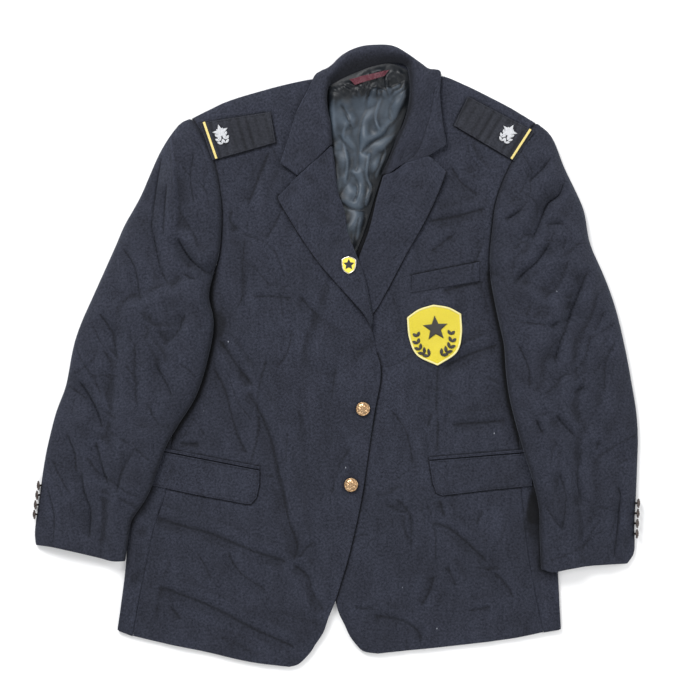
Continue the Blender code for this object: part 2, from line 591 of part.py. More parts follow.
def make_side_panels(wool):
    """Each side panel folds round the side of the body, from the front's seam to the back's."""
    for side, front, edge, back, way in (
            ("left", LEFT_PANEL_SEAM, LEFT_SIDE, LEFT_BACK_SEAM, 1),
            ("right", RIGHT_PANEL_SEAM, RIGHT_SIDE, RIGHT_BACK_SEAM, -1)):
        where = np.linspace(0, 1, SIDE_ROWS)
        face_row, edge_row, back_row = (shares(curve, where) for curve in (front, edge, back))
        low, high = WOOL / 2, FRONT_FLOOR + FRONTED - WOOL / 2
        turn = (high - low) / 2
        grid = []
        for f, e, b in zip(face_row, edge_row, back_row):
            row = [(*(f + (e - f) * t + (-way * SEAM * 2 * (1 - t), 0)), high)
                   for t in (0, 0.35, 0.7)]
            for angle in (90, 45, 0, -45, -90):
                a = math.radians(angle)
                row.append((e[0] + way * (turn + WOOL / 2) - way * turn * math.cos(a), e[1],
                            low + turn + turn * math.sin(a)))
            row += [(*(b + (e - b) * t + (-way * SEAM * 4 * (1 - t), 0)), low) for t in (0.5, 0)]
            grid.append(row)
        wall("side_panel_" + side, np.array(grid), WOOL, wool)


def make_fronts(wool):
    panel("front_right", RINGS["front_right"], lambda xy: front_right_face(xy) - FRONTED,
          front_right_face, wool)
    panel("front_left", RINGS["front_left"], lambda xy: front_left_face(xy) - FRONTED,
          front_left_face, wool)


def make_lining(satin):
    """The lining in the neck, with its pleats. Returns the height of its face."""
    ring = outline([[(0, 358), (20, 368), (50, 380), (80, 384), (92, 380)],
                    [(92, 380), (97, 352), (86, 312), (70, 274), (52, 222), (36, 170), (22, 134)],
                    [(22, 134), (10, 150), (2, 190), (-8, 240), (-12, 290), (-14, 330), (0, 358)]],
                   12.0)
    pleats = [([(46, 372), (42, 354), (30, 313), (28, 275), (25, 225)], -3.2, 9),
              ([(92, 345), (80, 316), (64, 297), (40, 280), (30, 271)], -2.2, 8)]

    rest = lying_on(lambda xy: back_floor(xy) + WOOL, GAP, 14.0)

    def low(xy):
        within = ease((-outside_by(xy, ring) - 12) / 14)
        return rest(xy) - folds(xy, pleats) * within

    panel("lining_back", ring, low, lambda xy: low(xy) + LINED, satin, 12.0, 2.0)
    return lambda xy: low(xy) + LINED


def make_lapels(wool):
    """Each lapel turns round the roll line from inside the front and lies on the front's face."""
    where = np.linspace(LAPEL_FROM, 0.996, LAPEL_ROWS)
    across = np.array((0.0, 0.14, 0.32, 0.52, 0.72, 0.88, 1.0))
    for side, surface, roll, edge, gorge in (
            ("left", front_left_face, LEFT_ROLL, LEFT_LAPEL_EDGE, LEFT_GORGE),
            ("right", front_right_face, RIGHT_ROLL, RIGHT_LAPEL_EDGE, RIGHT_GORGE)):
        rolls, edges = shares(roll, where), shares(edge, where)
        wide = np.linalg.norm(edges - rolls, axis=1)[:, None]
        out = (edges - rolls) / wide
        bend = shares(gorge, across) - (rolls[-1] + (edges[-1] - rolls[-1]) * across[:, None])
        turn = ease((where - 0.72) / 0.28)[:, None]
        top = surface(rolls + out * 5)[:, None]
        low = top - FRONTED + 0.7
        leaf = top + GAP + LAPEL_WALL / 2
        rise = ease((where[:, None] - 0.5) / 0.5) * (LAPEL_AT_GORGE - leaf)
        columns = [np.hstack([rolls + out * 1.15, low]),
                   np.hstack([rolls + out * 1.15, (low + leaf) / 2 + rise * 0.3])]
        for u, shift in zip(across, bend):
            spot = rolls + out * (2.4 + (wide - 2.4) * u) + shift * turn
            lies = lying_on(surface, GAP + LAPEL_WALL / 2, 8.0)(spot)[:, None]
            high = np.maximum(lies, leaf + rise) - (0.5 if u == 0 else 0)
            if side == "left":
                high += STAND_OFF * np.exp(-((where[:, None] - STAND_OFF_AT) / 0.1) ** 2) * u ** 2
            columns.append(np.hstack([spot, high]))
        wall("lapel_" + side, np.stack(columns, axis=1), LAPEL_WALL, wool)


def make_collar(wool):
    """Stand, roll, leaf and fall in one strip, swept through its sections round the neck."""
    sections = np.array(COLLAR_SECTIONS, float)
    where = np.linspace(0, 1, COLLAR_ROWS)
    columns = np.stack([knotted(sections[:, k], where) for k in range(6)], axis=1)
    grid = []
    for row in columns:
        line = []
        for k, spans in enumerate(COLLAR_SPANS):
            before, after = row[max(k - 1, 0)], row[min(k + 2, 5)]
            for t in np.linspace(0, 1, spans, endpoint=False):
                line.append(between(before, row[k], row[k + 1], after, t, k < 3))
        grid.append([*line, row[5]])
    wall("collar", np.array(grid), COLLAR_WALL, wool)


def between(a, b, c, d, t, curved):
    if not curved:
        return b + (c - b) * t
    return 0.5 * (2 * b + (c - a) * t + (2 * a - 5 * b + 4 * c - d) * t ** 2
                  + (3 * b - a - 3 * c + d) * t ** 3)


def knotted(points, where):
    """A smooth curve read by its knots' numbers, so that the sections' columns stay in step."""
    p = np.array(points, float)
    ends = [2 * p[0] - p[1], *p, 2 * p[-1] - p[-2]]
    found = []
    for share in where:
        knot = min(share * (len(p) - 1), len(p) - 1 - 1e-9)
        k = int(knot)
        found.append(between(ends[k], ends[k + 1], ends[k + 2], ends[k + 3], knot - k, True))
    return np.array(found)


def sleeve_grid(side):
    """Points on the middle of a top sleeve's cloth: sections from shoulder to cuff, each from
    the cloth that turns under the outer edge, over the top, to what turns under the inner one."""
    armhole, outer, inner, cuff, table = {
        "left": (LEFT_ARMHOLE, LEFT_SLEEVE_OUTER, LEFT_SLEEVE_INNER, LEFT_CUFF, LEFT_SLEEVE_FOLDS),
        "right": (RIGHT_ARMHOLE, RIGHT_SLEEVE_OUTER, RIGHT_SLEEVE_INNER, RIGHT_CUFF,
                  RIGHT_SLEEVE_FOLDS)}[side]
    down = np.linspace(SLEEVE_FROM, 1, SLEEVE_ROWS)
    across = (1 - np.cos(np.linspace(0, math.pi, SLEEVE_COLUMNS))) / 2
    outers, inners = shares(outer, down), shares(armhole + inner[1:], down)
    way = np.gradient(inners, axis=0)
    way = np.stack([way[:, 1], -way[:, 0]], axis=1) / np.linalg.norm(way, axis=1)[:, None]
    apart = {"left": ARMHOLE_GAP, "right": -ARMHOLE_GAP}[side]
    inners += way * apart * (1 - ease((down - 0.35) / 0.1))[:, None]
    bend = shares(cuff, across) - (outers[-1] + (inners[-1] - outers[-1]) * across[:, None])
    xy = (outers[:, None] + (inners - outers)[:, None] * across[:, None]
          + bend * ease((down - 0.85) / 0.15)[:, None, None]).reshape(-1, 2)
    high = along_table(np.repeat(down, SLEEVE_COLUMNS), SLEEVE_SECTIONS, 1)
    from_outer = to_line(xy, smooth(outer, 8.0))
    from_inner = to_line(xy, smooth(inner, 8.0))
    from_seam = to_line(xy, smooth(armhole, 8.0))
    full = rounded(from_outer / 44) * rounded(from_inner / 40)
    edge = SLEEVE_EDGE * (0.75 + 0.25 * ease(from_seam / 60))
    lowest = sleeve_floor(xy, side) + WOOL / 2 + edge
    z = lowest + (high - edge) * full - folds(xy, table) * full
    seam = along_table(xy[:, 1], ARMHOLE_HEIGHT, 1) - WOOL / 2
    blend = rounded(from_seam / 42)
    z = np.maximum(seam * (1 - blend) + z * blend, lowest)
    middle = np.column_stack([xy, z]).reshape(SLEEVE_ROWS, SLEEVE_COLUMNS, 3)
    under_outer, under_inner = (along_table(down, SLEEVE_SECTIONS, k) for k in (2, 3))
    seamed = 1 - ease((down - ARMHOLE_SHARE) / 0.06)
    return np.concatenate([lip(middle[:, 0], middle[:, 5], under_outer, 0 * down, side)[:, ::-1],
                           middle,
                           lip(middle[:, -1], middle[:, 5], under_inner, seamed, side)], axis=1)


def lip(edge, within, widths, seamed, side):
    """The cloth that turns under a sleeve's edge and lies flat beneath it, or at the armhole
    just under the seam."""
    along = np.gradient(edge[:, :2], axis=0)
    way = np.stack([-along[:, 1], along[:, 0]], axis=1)
    way /= np.linalg.norm(way, axis=1)[:, None]
    way *= np.sign(((within - edge)[:, :2] * way).sum(axis=1))[:, None]
    made = []
    for share, drop in ((0.06, 0.62), (0.22, 1.0), (0.6, 1.0), (1.0, 1.0)):
        xy = edge[:, :2] + way * (widths * share)[:, None]
        rest = sleeve_floor(xy, side) + WOOL / 2
        rest += (np.maximum(edge[:, 2] - SEAM_TURN, rest) - rest) * seamed
        made.append(np.column_stack([xy, edge[:, 2] + (rest - edge[:, 2]) * drop]))
    return np.stack(made, axis=1)


def make_sleeves(wool):
    for side in ("left", "right"):
        grid = sleeve_grid(side)
        wall("top_sleeve_" + side, grid, WOOL, wool)
        ring = np.vstack([grid[:, 0, :2], grid[-1, 8:-8, :2], grid[::-1, -1, :2]])
        panel("under_sleeve_" + side, ring, lambda xy: sleeve_floor(xy, side),
              lambda xy: sleeve_floor(xy, side) + WOOL, wool, UNDER_STEP, 1.0)


def make_pockets(wool):
    for side, surface, flap, jet in (("left", front_left_face, LEFT_FLAP, LEFT_JET),
                                     ("right", front_right_face, RIGHT_FLAP, RIGHT_JET)):
        for name, corners, thick in (("pocket_flap_", flap, WOOL), ("pocket_jet_", jet, JET_WALL)):
            low = lying_on(surface, GAP)
            panel(name + side, polygon(corners, TRIM_STEP), low,
                  lambda xy: low(xy) + thick, wool, TRIM_STEP * 1.6)
    low = lying_on(front_right_face, GAP)
    panel("breast_welt", polygon(BREAST_WELT, TRIM_STEP), low, lambda xy: low(xy) + WELT_WALL,
          wool, TRIM_STEP * 1.4)


def make_buttons(brass, dark_brass):
    profile = [(0, 0), (2.4, 0), (2.4, 1.2), (8.8, 1.7), (9.4, 2.6), (8.8, 3.5), (5.8, 4.6),
               (0, 5.3)]
    for name, spot in FRONT_BUTTONS.items():
        high = lying_on(front_left_face, GAP, 8.0)(np.array([spot], float))[0]
        turned(name, profile, (*spot, high), brass)
    small = [(0, -CUFF_SHANK), (1.4, -CUFF_SHANK), (1.4, 0.9), (6.2, 1.3), (6.4, 2.3), (4.6, 3.6), (0, 4.2)]
    for side, spots, outer, way in (("left", CUFF_BUTTONS_LEFT, LEFT_SLEEVE_OUTER, -1),
                                    ("right", CUFF_BUTTONS_RIGHT, RIGHT_SLEEVE_OUTER, 1)):
        for number, spot in enumerate(spots, 1):
            turned(f"cuff_button_{side}_{number}", small, (*spot, CUFF_BUTTON_HEIGHT), dark_brass,
                   10, (way * 0.94, 0, 0.34))


def make_marks(cloth, braid, silver):
    """Shoulder marks: a cloth slide with a braid bar at its outer end and a badge of a star."""
    for side, surface, mark, bar, badge, tilt in (
            ("left", front_left_face, LEFT_MARK, LEFT_BAR, LEFT_BADGE, 17),
            ("right", front_right_face, RIGHT_MARK, RIGHT_BAR, RIGHT_BADGE, -31)):
        low = lying_on(surface, GAP, 9.0)
        panel("shoulder_mark_" + side, polygon(mark, TRIM_STEP), low,
              lambda xy: low(xy) + MARK_WALL, cloth, TRIM_STEP * 1.5)
        on = lying_on(lambda xy: low(xy) + MARK_WALL, 0.3, 6.0)
        panel("mark_bar_" + side, polygon(bar, TRIM_STEP), on, lambda xy: on(xy) + BRAID_WALL,
              braid, TRIM_STEP)
        star = star_ring(badge, 16.0, 8.0, 5, math.radians(90 + tilt))
        panel("mark_badge_" + side, star, on, lambda xy: on(xy) + BADGE_WALL, silver, TRIM_STEP)


def star_ring(centre, outer, inner, points, turn):
    angles = turn + np.arange(2 * points) * math.pi / points
    radii = np.where(np.arange(2 * points) % 2 == 0, outer, inner)
    return np.column_stack([centre[0] + radii * np.cos(angles), centre[1] + radii * np.sin(angles)])


def shield_ring(centre, width, height, tilt, step):
    """A plain heater shield: a shallow peaked top, upright sides and a rounded point."""
    half, low = width / 2, -height / 2
    right = smooth([(half, 0.32 * height), (0.97 * half, -0.02 * height), (0.72 * half, 0.62 * low),
                    (0, low)], step)
    top = smooth([(0, 0.5 * height), (0.55 * half, 0.44 * height), (half, 0.32 * height)], step)
    side = np.vstack([top[:-1], right[:-1]])
    ring = np.vstack([side, (0, low), (side[1:] * (-1, 1))[::-1]])
    turn = np.array([[math.cos(tilt), -math.sin(tilt)], [math.sin(tilt), math.cos(tilt)]])
    return ring @ turn.T + centre


def make_badges(lining_face, yellow, enamel, crimson):
    low = lying_on(front_right_face, GAP, 7.0)
    ring = shield_ring(PATCH_CENTRE, 73, 82, PATCH_TILT, TRIM_STEP)
    panel("shield_patch", ring, low, lambda xy: low(xy) + PATCH_WALL, yellow, TRIM_STEP * 1.3)
    rest = lying_on(lapel_left_face, 1.5 * GAP, 6.0)(np.array([PIN_CENTRE], float))[0]
    pin = shield_ring(PIN_CENTRE, 19.5, 24, 0, 4.0)
    panel("lapel_pin", pin, lambda xy: np.full(len(xy), rest),
          lambda xy: np.full(len(xy), rest + PIN_WALL), enamel, 6.0)
    on = lying_on(lining_face, GAP, 12.0)
    panel("neck_label", polygon(LABEL, TRIM_STEP), on, lambda xy: on(xy) + LABEL_WALL, crimson,
          TRIM_STEP * 1.5)


def build():
    for old in list(bpy.data.objects):
        bpy.data.objects.remove(old)
    wool = material("navy_wool", (0.036, 0.042, 0.062), 0.95)
    satin = material("lining_satin", (0.095, 0.118, 0.145), 0.38)
    make_backs(wool)
    make_side_panels(wool)
    lining_face = make_lining(satin)
    make_fronts(wool)
    make_lapels(wool)
    make_collar(wool)
    make_sleeves(wool)
    make_pockets(wool)
    make_buttons(material("button_brass", (0.72, 0.5, 0.3), 0.35, 1.0),
                 material("cuff_brass", (0.16, 0.12, 0.1), 0.4, 1.0))
    make_marks(material("mark_cloth", (0.033, 0.036, 0.048), 0.9),
               material("mark_braid", (0.8, 0.68, 0.22), 0.6),
               material("silver_thread", (0.6, 0.61, 0.63), 0.5))
    make_badges(lining_face,
                material("patch_yellow", (0.8, 0.66, 0.06), 0.8),
                material("pin_enamel", (0.85, 0.72, 0.12), 0.3),
                material("label_crimson", (0.36, 0.03, 0.1), 0.6))


build()
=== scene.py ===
"""The looks of a two-button navy blazer laid flat on its back, seen from straight above.

The tables and the heights of the layers are those of the solids, in millimetres in the layout's
own frame (ORIGIN moves it to the row frame). Every cloth piece is a closed thin shell on the form
of its solid, with finer outlines, rounded edges, seam ditches, listed creases and a napped
or satin finish. Left and right are as seen from above.
"""

import bpy
import math
import numpy as np
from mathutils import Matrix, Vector
from mathutils.geometry import delaunay_2d_cdt


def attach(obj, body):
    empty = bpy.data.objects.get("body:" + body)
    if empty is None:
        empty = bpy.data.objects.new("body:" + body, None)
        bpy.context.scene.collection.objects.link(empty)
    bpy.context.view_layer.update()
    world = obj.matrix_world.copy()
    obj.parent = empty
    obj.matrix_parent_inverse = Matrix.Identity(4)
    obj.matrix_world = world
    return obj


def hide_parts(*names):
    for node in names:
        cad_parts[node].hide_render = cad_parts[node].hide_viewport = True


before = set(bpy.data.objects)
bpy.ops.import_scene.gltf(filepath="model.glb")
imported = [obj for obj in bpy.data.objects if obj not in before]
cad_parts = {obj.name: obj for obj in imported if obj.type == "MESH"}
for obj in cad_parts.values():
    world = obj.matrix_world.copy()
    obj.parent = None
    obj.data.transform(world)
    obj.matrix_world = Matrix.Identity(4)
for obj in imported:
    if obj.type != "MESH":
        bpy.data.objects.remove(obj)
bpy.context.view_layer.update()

MM = 0.001
ORIGIN = (-0.7, 0.2)
SIDES = ("left", "right")
WAY = {"left": 1, "right": -1}

# Walls of the cloth, and the gap between layers.
WOOL = 1.6
FRONTED = 2.4
LINED = 1.0
LAPEL_WALL = 2.2
COLLAR_WALL = 2.2
JET_THICK = 1.0
MARK_THICK = 1.8
PATCH_THICK = 1.3
SEAM = 0.25
GAP = 0.4

# Spacing of the points: round an outline, inside a panel, and inside what is hidden.
RIM_STEP = 3.2
CLOTH_STEP = 2.9
HIDDEN_STEP = 9.0
TRIM_STEP = 2.4
LAYER_STEP = 21.0
SIDE_ROWS, SIDE_FACE_COLUMNS = 110, 14
LAPEL_ROWS, LAPEL_COLUMNS = 100, 37
SLEEVE_ROWS, SLEEVE_COLUMNS = 230, 77
COLLAR_ROWS, COLLAR_SPANS = 260, (5, 8, 14, 12, 12)

# How far past a piece the cloth over it stays up, and the length of its ramp down.
COVER = 15.0
RAMP = 20.0

# Heights of the layers on the floor.
BACK_OVER_FALL = 2.75
FRONT_FLOOR = 4.2
LEFT_OVER_RIGHT = FRONTED + GAP
LEFT_OVER_LAPEL = LAPEL_WALL + 2 * GAP
SLEEVE_EDGE = 3.4
LAPEL_AT_GORGE = 12.5
LAPEL_FROM = 0.15
ROLL_ROOM = 4.2

# Creases: the deepest trough, how bold the fronts' are, the shares of the half-width on the steep
# and the gentle flank, and the depth and half-width of the crisp line along the bottom.
DEEPEST_TROUGH = 2.3
BOLD = 1.4
STEEP, GENTLE = 0.5, 1.3
CRISP, CRISP_HALF = 0.7, 1.5
STREWN_COUNTS = {"front_left": (40, 3, -50, 40, 0.4), "front_right": (34, 5, 25, 50, 0.4),
                 "sleeve_left": (38, 7, -60, 38, 0.6), "sleeve_right": (38, 9, 60, 38, 0.6)}

# The depth under the smoothed cloth that gets the full painted shade of a crease, and the rounds
# of smoothing that it is measured against; the cap on painted shade in corners and beside sleeves.
HOLLOW, HOLLOW_ROUNDS = 0.18, 3
DARKEST_PAINTED_SHADE = 1.5


# --- tables --------------------------------------------------------------------------------------

def pairs(numbers):
    return list(zip(numbers[::2], numbers[1::2]))


def table(text):
    """Lines of points by name: each name in the text is followed by its x and y, in turn."""
    found = {}
    for word in text.split():
        if word[0].isalpha():
            line = found[word] = []
        else:
            line.append(float(word))
    return {name: pairs(line) for name, line in found.items()}


def crease_table(text):
    """Creases, one a row, as (points, depth, half-width) from the depth, half-width and points.
    A trough is positive, a ridge negative."""
    rows = [[float(word) for word in row.split()] for row in text.strip().splitlines()]
    return [(pairs(row[2:]), row[0], row[1]) for row in rows]


# Edges of the pieces, down or along each piece; the sleeve's inner edge is its fold beside the
# body. Flaps, jets and marks are given by their corners, buttons by their centres.
EDGES = {
    "left": table("""
edge 54 3  58.5 -11  58.5 -35  51 -74  44 -121  33 -194  18 -262  6 -304  -3 -333
cutaway -3 -333  -11 -352  -18 -372  -29 -389  -36 -400  -51 -415  -64 -419
hem -64 -419  -118 -412  -184 -397  -229 -388  -275 -377
side_hem -275 -377  -291 -373  -296 -369
roll 54 3  51 24  45 68  35 111  19 154  9.5 196  1 221  -4 262  -7 283
lapel_edge 54 3  50 28  39 53  23 72  -2 100  -24 126  -49 162  -77 207  -77.5 216
gorge -7 283  -30 262  -53 241  -65 228  -77.5 216
neck -10.5 283  -15.5 298  -18 314  -20.5 332  -21 350  -20 362  -24 374
shoulder -24 374  -51 370  -96 359  -145 344  -172 332  -196 320
armhole -196 320  -185 303  -166 262  -157 216  -155 185  -158 140  -166 111
underarm -166 111  -178 90  -208 68
panel_seam -208 68  -215 0  -222 -100  -230 -180  -247 -234  -262 -306  -275 -377
side -262 50  -272 -60  -279 -180  -284 -274  -291 -334  -296 -369
back_seam -214 46  -222 -100  -228 -200  -236 -300  -241 -356
sleeve_outer -196 320  -214 309  -238 273  -263 216  -284 178  -298 146  -325 86  -351 24  -364 -39
    -378 -78  -392 -136  -400 -192  -406 -233  -405 -254
sleeve_inner -166 111  -172 80  -166 42  -175 -8  -190 -54  -214 -93  -232 -126  -252 -182  -271
    -212  -278 -226  -283 -262  -285 -275
cuff -405 -254  -383 -256  -346 -264  -304 -274  -285 -275
back_neck -24 374  -19 362  -9 361.5  7 371  28 380  39 384.4
centre_back 39 384.4  30 200  20 0  10 -200  4 -329
back_hem 4 -329  -80 -334  -160 -344  -241 -356
back_turn -214 46  -192 66  -166 111
side_top -262 50  -208 68
dart -96 -8  -104 -39  -107 -66  -105 -93  -108 -113  -115 -141
flap -255 -125  -104 -154  -104 -172  -108 -191  -116 -199.5  -124 -199  -189 -187  -250 -174
jet -252 -120  -104 -148.5  -104 -153  -254 -124
mark -184 312.5  -167 262  -82 287  -89 328
bar -180 313.3  -176.5 314.3  -159.5 264.6  -163 263.6
cuff_buttons -399.5 -174  -401.5 -187  -403.5 -200  -405 -213
"""),
    "right": table("""
edge -11 8  -15 -40  -15 -80  -12 -150  -8 -230  -8 -290  -1.5 -334
cutaway -1.5 -334  3 -348  10 -362  17 -377  26 -389  36 -398  55 -401
hem 55 -401  84 -398  162 -390  234 -381  278 -372
side_hem 278 -372  290 -370  302 -368
roll -11 8  8 66  29 129  44 170  54 211  63 243
lapel_edge -11 8  12 30  47 57  66 87  92 136  118 182  135 218  146 247
gorge 63 243  76 248.4  90 258.2  106 263.8  122 267.5  134 258  146 247
neck 66 242  74 266  84 292  93 316  98 334  102 352  105 366  113 373
shoulder 113 373  131 377  147 376  171 366  198 353  231 336  258 320  268 314
armhole 268 314  258 303  246 283  236 261  222 231  213 201  209 170  206 140  206 111
underarm 206 111  216 90  236 70
panel_seam 236 70  240 0  245 -100  250 -200  257 -262  267 -320  278 -372
side 283 52  288 -60  291 -180  297 -274  300 -334  302 -368
back_seam 238 46  242 -100  246 -200  249 -300  251 -356
sleeve_outer 268 314  289 294  306 252  331 198  340 152  364 95  379 47  394 -24  404 -93  403 -165
    400 -225  400 -262  391 -279
sleeve_inner 206 111  211 80  218 47  225 15  228 -24  234 -63  250 -123  263 -165  272 -205  273
    -240  275 -286
cuff 391 -279  356 -280  315 -284  290 -289  275 -286
back_neck 39 384.4  50 388  72 392  86 390  95 383  103 375  113 373
centre_back 39 384.4  30 200  20 0  10 -200  4 -329
back_hem 4 -329  90 -334  170 -344  251 -356
back_turn 206 111  222 68  238 46
side_top 283 52  236 70
dart 136 -12  134 -69  136 -93  135 -127
flap 124 -141  261 -130  263 -175  208 -180  142 -188  134 -185  129 -172
jet 124 -136  259 -125  260 -129  124 -140
mark 176 349  157 310  238 260.5  265 301
bar 261 303  258 305  232 264.8  235 262.8
cuff_buttons 403.6 -198  402.9 -211.5  402.2 -225  401.7 -239
"""),
}

CREASES = {
    "left": crease_table("""
1.9 8  -90 279  -104 246  -122 199
1.6 6  -140 201  -144 182  -131 167
1.9 13  -123 167  -127 126  -128 80  -139 59
1 6  -117 80  -85 80  -57 77
1.7 8  -54 84  -22 50  18 26
-2.2 9  -154 20  -140 -2  -123 -26
2 7  -163 26  -146 6  -129 -20  -112 -43
2.2 9  -123 -45  -103 -78  -88 -120  -76 -171  -66 -219  -54 -255  -60 -279
2 7  -61 -279  -39 -298  -33 -319  -15 -346
2.2 8  -258 -213  -214 -228  -171 -240  -108 -265  -63 -279
2.1 8  -244 -310  -193 -328  -154 -346  -108 -370  -54 -394
1.2 6  -227 -333  -208 -358
1.4 6  -54 -274  -40 -258  -27 -247
1.5 8  -171 -8  -151 -47  -135 -105  -120 -135
1.8 5  -214 -117  -198 -119  -182 -117
1 7  5 9  -2 -20  -7 -59
-0.9 10  -30 -40  -24 -90  -28 -130
1.1 8  -150 -260  -130 -292  -92 -318
0.9 7  -190 -262  -176 -286  -168 -306
1.1 7  20 -120  2 -150  -8 -190
0.9 8  -60 40  -66 8  -84 -20
0.9 8  -60 240  -78 190  -100 150
"""),
    "right": crease_table("""
1.9 7  118 181  150 185  204 199
1.4 6  123 138  140 150  159 165
1.5 7  138 86  170 94  204 100
2.1 8  138 -19  180 2  225 17
-1.2 8  146 -4  178 16  206 28
1.8 7  150 -93  186 -91  234 -86
1.4 6  147 -279  154 -296  162 -313
1.9 7  132 -292  124 -316  111 -340
1.5 7  45 -349  86 -356  108 -370  115 -388
1.2 6  174 -343  192 -341  211 -337
1.3 6  198 -204  192 -218  186 -231
1.3 6  138 -189  141 -206  147 -222
2.1 8  123 -225  153 -234  204 -279
1.3 6  129 -72  125 -86  120 -99
1 7  200 160  186 126  180 112
1.1 8  150 262  168 232  196 214
-1.2 9  176 300  184 268  206 246
0.9 8  70 -70  92 -100  104 -150
1 8  76 -190  98 -214  100 -262
1.2 7  208 -290  226 -306  240 -330
"""),
    "sleeve_left": crease_table("""
5 8  -215 161  -196 130  -169 107
2.6 6  -208 111  -196 105  -184 100
-2.6 9  -223 294  -217 246  -214 198  -217 165
3.6 13  -234 276  -247 185  -244 155  -235 116  -223 92
2.2 8  -226 234  -230 195  -232 155
3.6 8  -347 -30  -325 -66  -313 -99
3 8  -324 -111  -315 -147  -306 -174
2.8 8  -343 -153  -339 -183  -331 -207  -333 -250
1.6 12  -269 22  -270 -24  -267 -69
3 9  -244 -8  -230 -32  -217 -59
2 9  -290 150  -270 118  -262 70
1.8 9  -320 60  -300 30  -292 -14
1.8 8  -364 -100  -352 -130  -350 -160
2.2 8  -200 60  -214 30  -236 12
2 9  -266 -120  -286 -150  -296 -190
1.6 8  -190 280  -196 240  -190 200
"""),
    "sleeve_right": crease_table("""
5 9  306 240  298 216  283 204  271 177  259 150
2.8 7  222 180  236 188  252 198
2.6 6  274 173  290 177  306 177
4 9  234 92  250 111  267 126  286 153
2.2 6  306 162  304 150  301 138
4 9  337 119  319 72  301 26  289 -16
2.4 6  279 36  288 41  298 46
2.4 7  361 65  352 47  342 29
2.2 6  313 -51  325 -44  337 -39
2.6 6  265 -81  271 -95  277 -108
3 8  289 -74  304 -92  321 -111
2.2 7  352 -108  350 -119  346 -129
2.8 6  375 -173  380 -182  380 -194  378 -225  375 -248  372 -273
3.2 9  289 270  277 252  252 228
2 9  310 130  296 96  272 72
1.8 9  330 -120  322 -160  330 -205
2 9  296 -150  306 -190  300 -240
2 8  240 20  254 -10  258 -44
1.8 9  372 20  360 -10  358 -50
"""),
    "lining": crease_table("""
-3.6 6  46 372  42 354  36 330  30 313  28 294  28 275  25 245
-3 5  30 271  47 287  64 297  80 316  92 340
-2.2 5  96 373  80 366  61 361  40 364
-2.4 5  3 208  16 199  33 196  44 204  58 234
2 6  16 318  8 296  14 262  10 230
2.2 6  60 350  52 322  58 300
-1.8 5  78 352  70 330  74 314
2.2 5  44 276  40 246  48 222
-2.2 5  4 340  14 322  22 300
-2 5  0 300  12 284  24 272
-2.4 5  64 280  56 256  42 232
-2 5  18 250  28 226  22 204
-1.6 5  30 190  26 170  24 150
"""),
}

# Collar sections from the left gorge round the neck to the right one. Each has six points
# (x, y, z): neck seam, stand, roll, turn, middle of the leaf (the notch at an end), outer edge.
COLLAR_SECTIONS = np.array("""
-9 281 8.3  -7 285 11  -12 281 14  -28 265 13.4  -53 243 12.6  -75.5 259.5 12
-12 296 8.3  -8 296 11.5  -13 297 15.5  -27 293 14.8  -46 283 13.4  -66 288 12.2
-14 312 8.3  -9 312 12  -14 313 16.3  -27 313 15.4  -42 312 13.8  -59 311 12.4
-17 330 8.3  -13 330 12  -18 331 16.5  -28 331 15.6  -39 331 14  -52 331 12.5
-18 350 8.2  -14 351 12  -18 353 16.2  -24 355 15.3  -31 357 14  -38 358 12.4
-14 361 6.6  -11 366 11  -13 374 15.5  -18 379 12.5  -23 380 9.4  -28 379 6.6
-7 366 5.2  -7 372 9.5  -5 382 14.5  -7 390 9  -13 387 3.4  -16 380 1.4
8 374 4.8  8 383 9  8 397 13.5  8 404.5 7.5  8 397 1.5  10 375 1.2
28 383 4.8  28 393 9  28 407 12.5  28 414.5 6.5  29 405 1.4  32 376 1.2
50 391 4.8  50 399 8.5  50 411 12  50 418 6.2  50 409 1.4  52 377 1.2
72 395 4.8  73 401 8.5  75 410 12.5  77 416 6.5  76 407 1.4  74 377 1.2
92 392 5.6  95 396 10  97 402 14.5  102 400 7.5  99 393 1.6  96 377 1.2
98 376 7  99 380 11.5  106 386 16  118 388 10.5  124 386 5  127 383 1.8
99 355 8.2  100 358 12  107 362 17  121 373 14.5  133 381 11  139 382 8.5
96 335 8.3  99 336 12.5  105 338 17  116 343 15.8  127 348 14  138 353 12.4
90 314 8.3  94 315 12  99 316 16.5  111 318 15.4  125 321 13.8  140.5 323 12.4
80 292 8.3  85 294 11.5  90 295 15.5  104 297 14.8  122 297 13.6  144 300 12.2
71 268 8.3  75 270 11  80 272 14.5  97 279 14  122 281 13.2  146 290 12.2
61 244.6 8.3  64 245 10.5  71 246.5 13.5  91 259.3 13.2  122 269.2 12.6  145.5 283 12
""".split(), float).reshape(-1, 6, 3)
COLLAR_FALL = [(-24, 378), (8, 408), (50, 420), (100, 402), (129, 386), (124, 377), (100, 375),
               (8, 373)]
COLLAR_CREASE = [([(133, 366), (123, 316), (108, 275), (89, 258), (75, 243)], 1.6, 6)]
LINING_EDGES = [[(-15, 358), (-7, 366), (8, 374.5), (28, 383), (50, 391), (74, 394), (96, 385)],
                [(96, 385), (99, 352), (88, 312), (72, 274), (54, 222), (38, 170), (22, 130)],
                [(22, 130), (8, 150), (0, 190), (-9, 240), (-13, 290), (-16, 330), (-15, 358)]]
# The opening down the neck, round which the backs get painted shade.
NECK_HOLE = np.array([(-16, 372), (-14, 290), (0, 180), (22, 118), (52, 180), (88, 280),
                      (104, 372)])

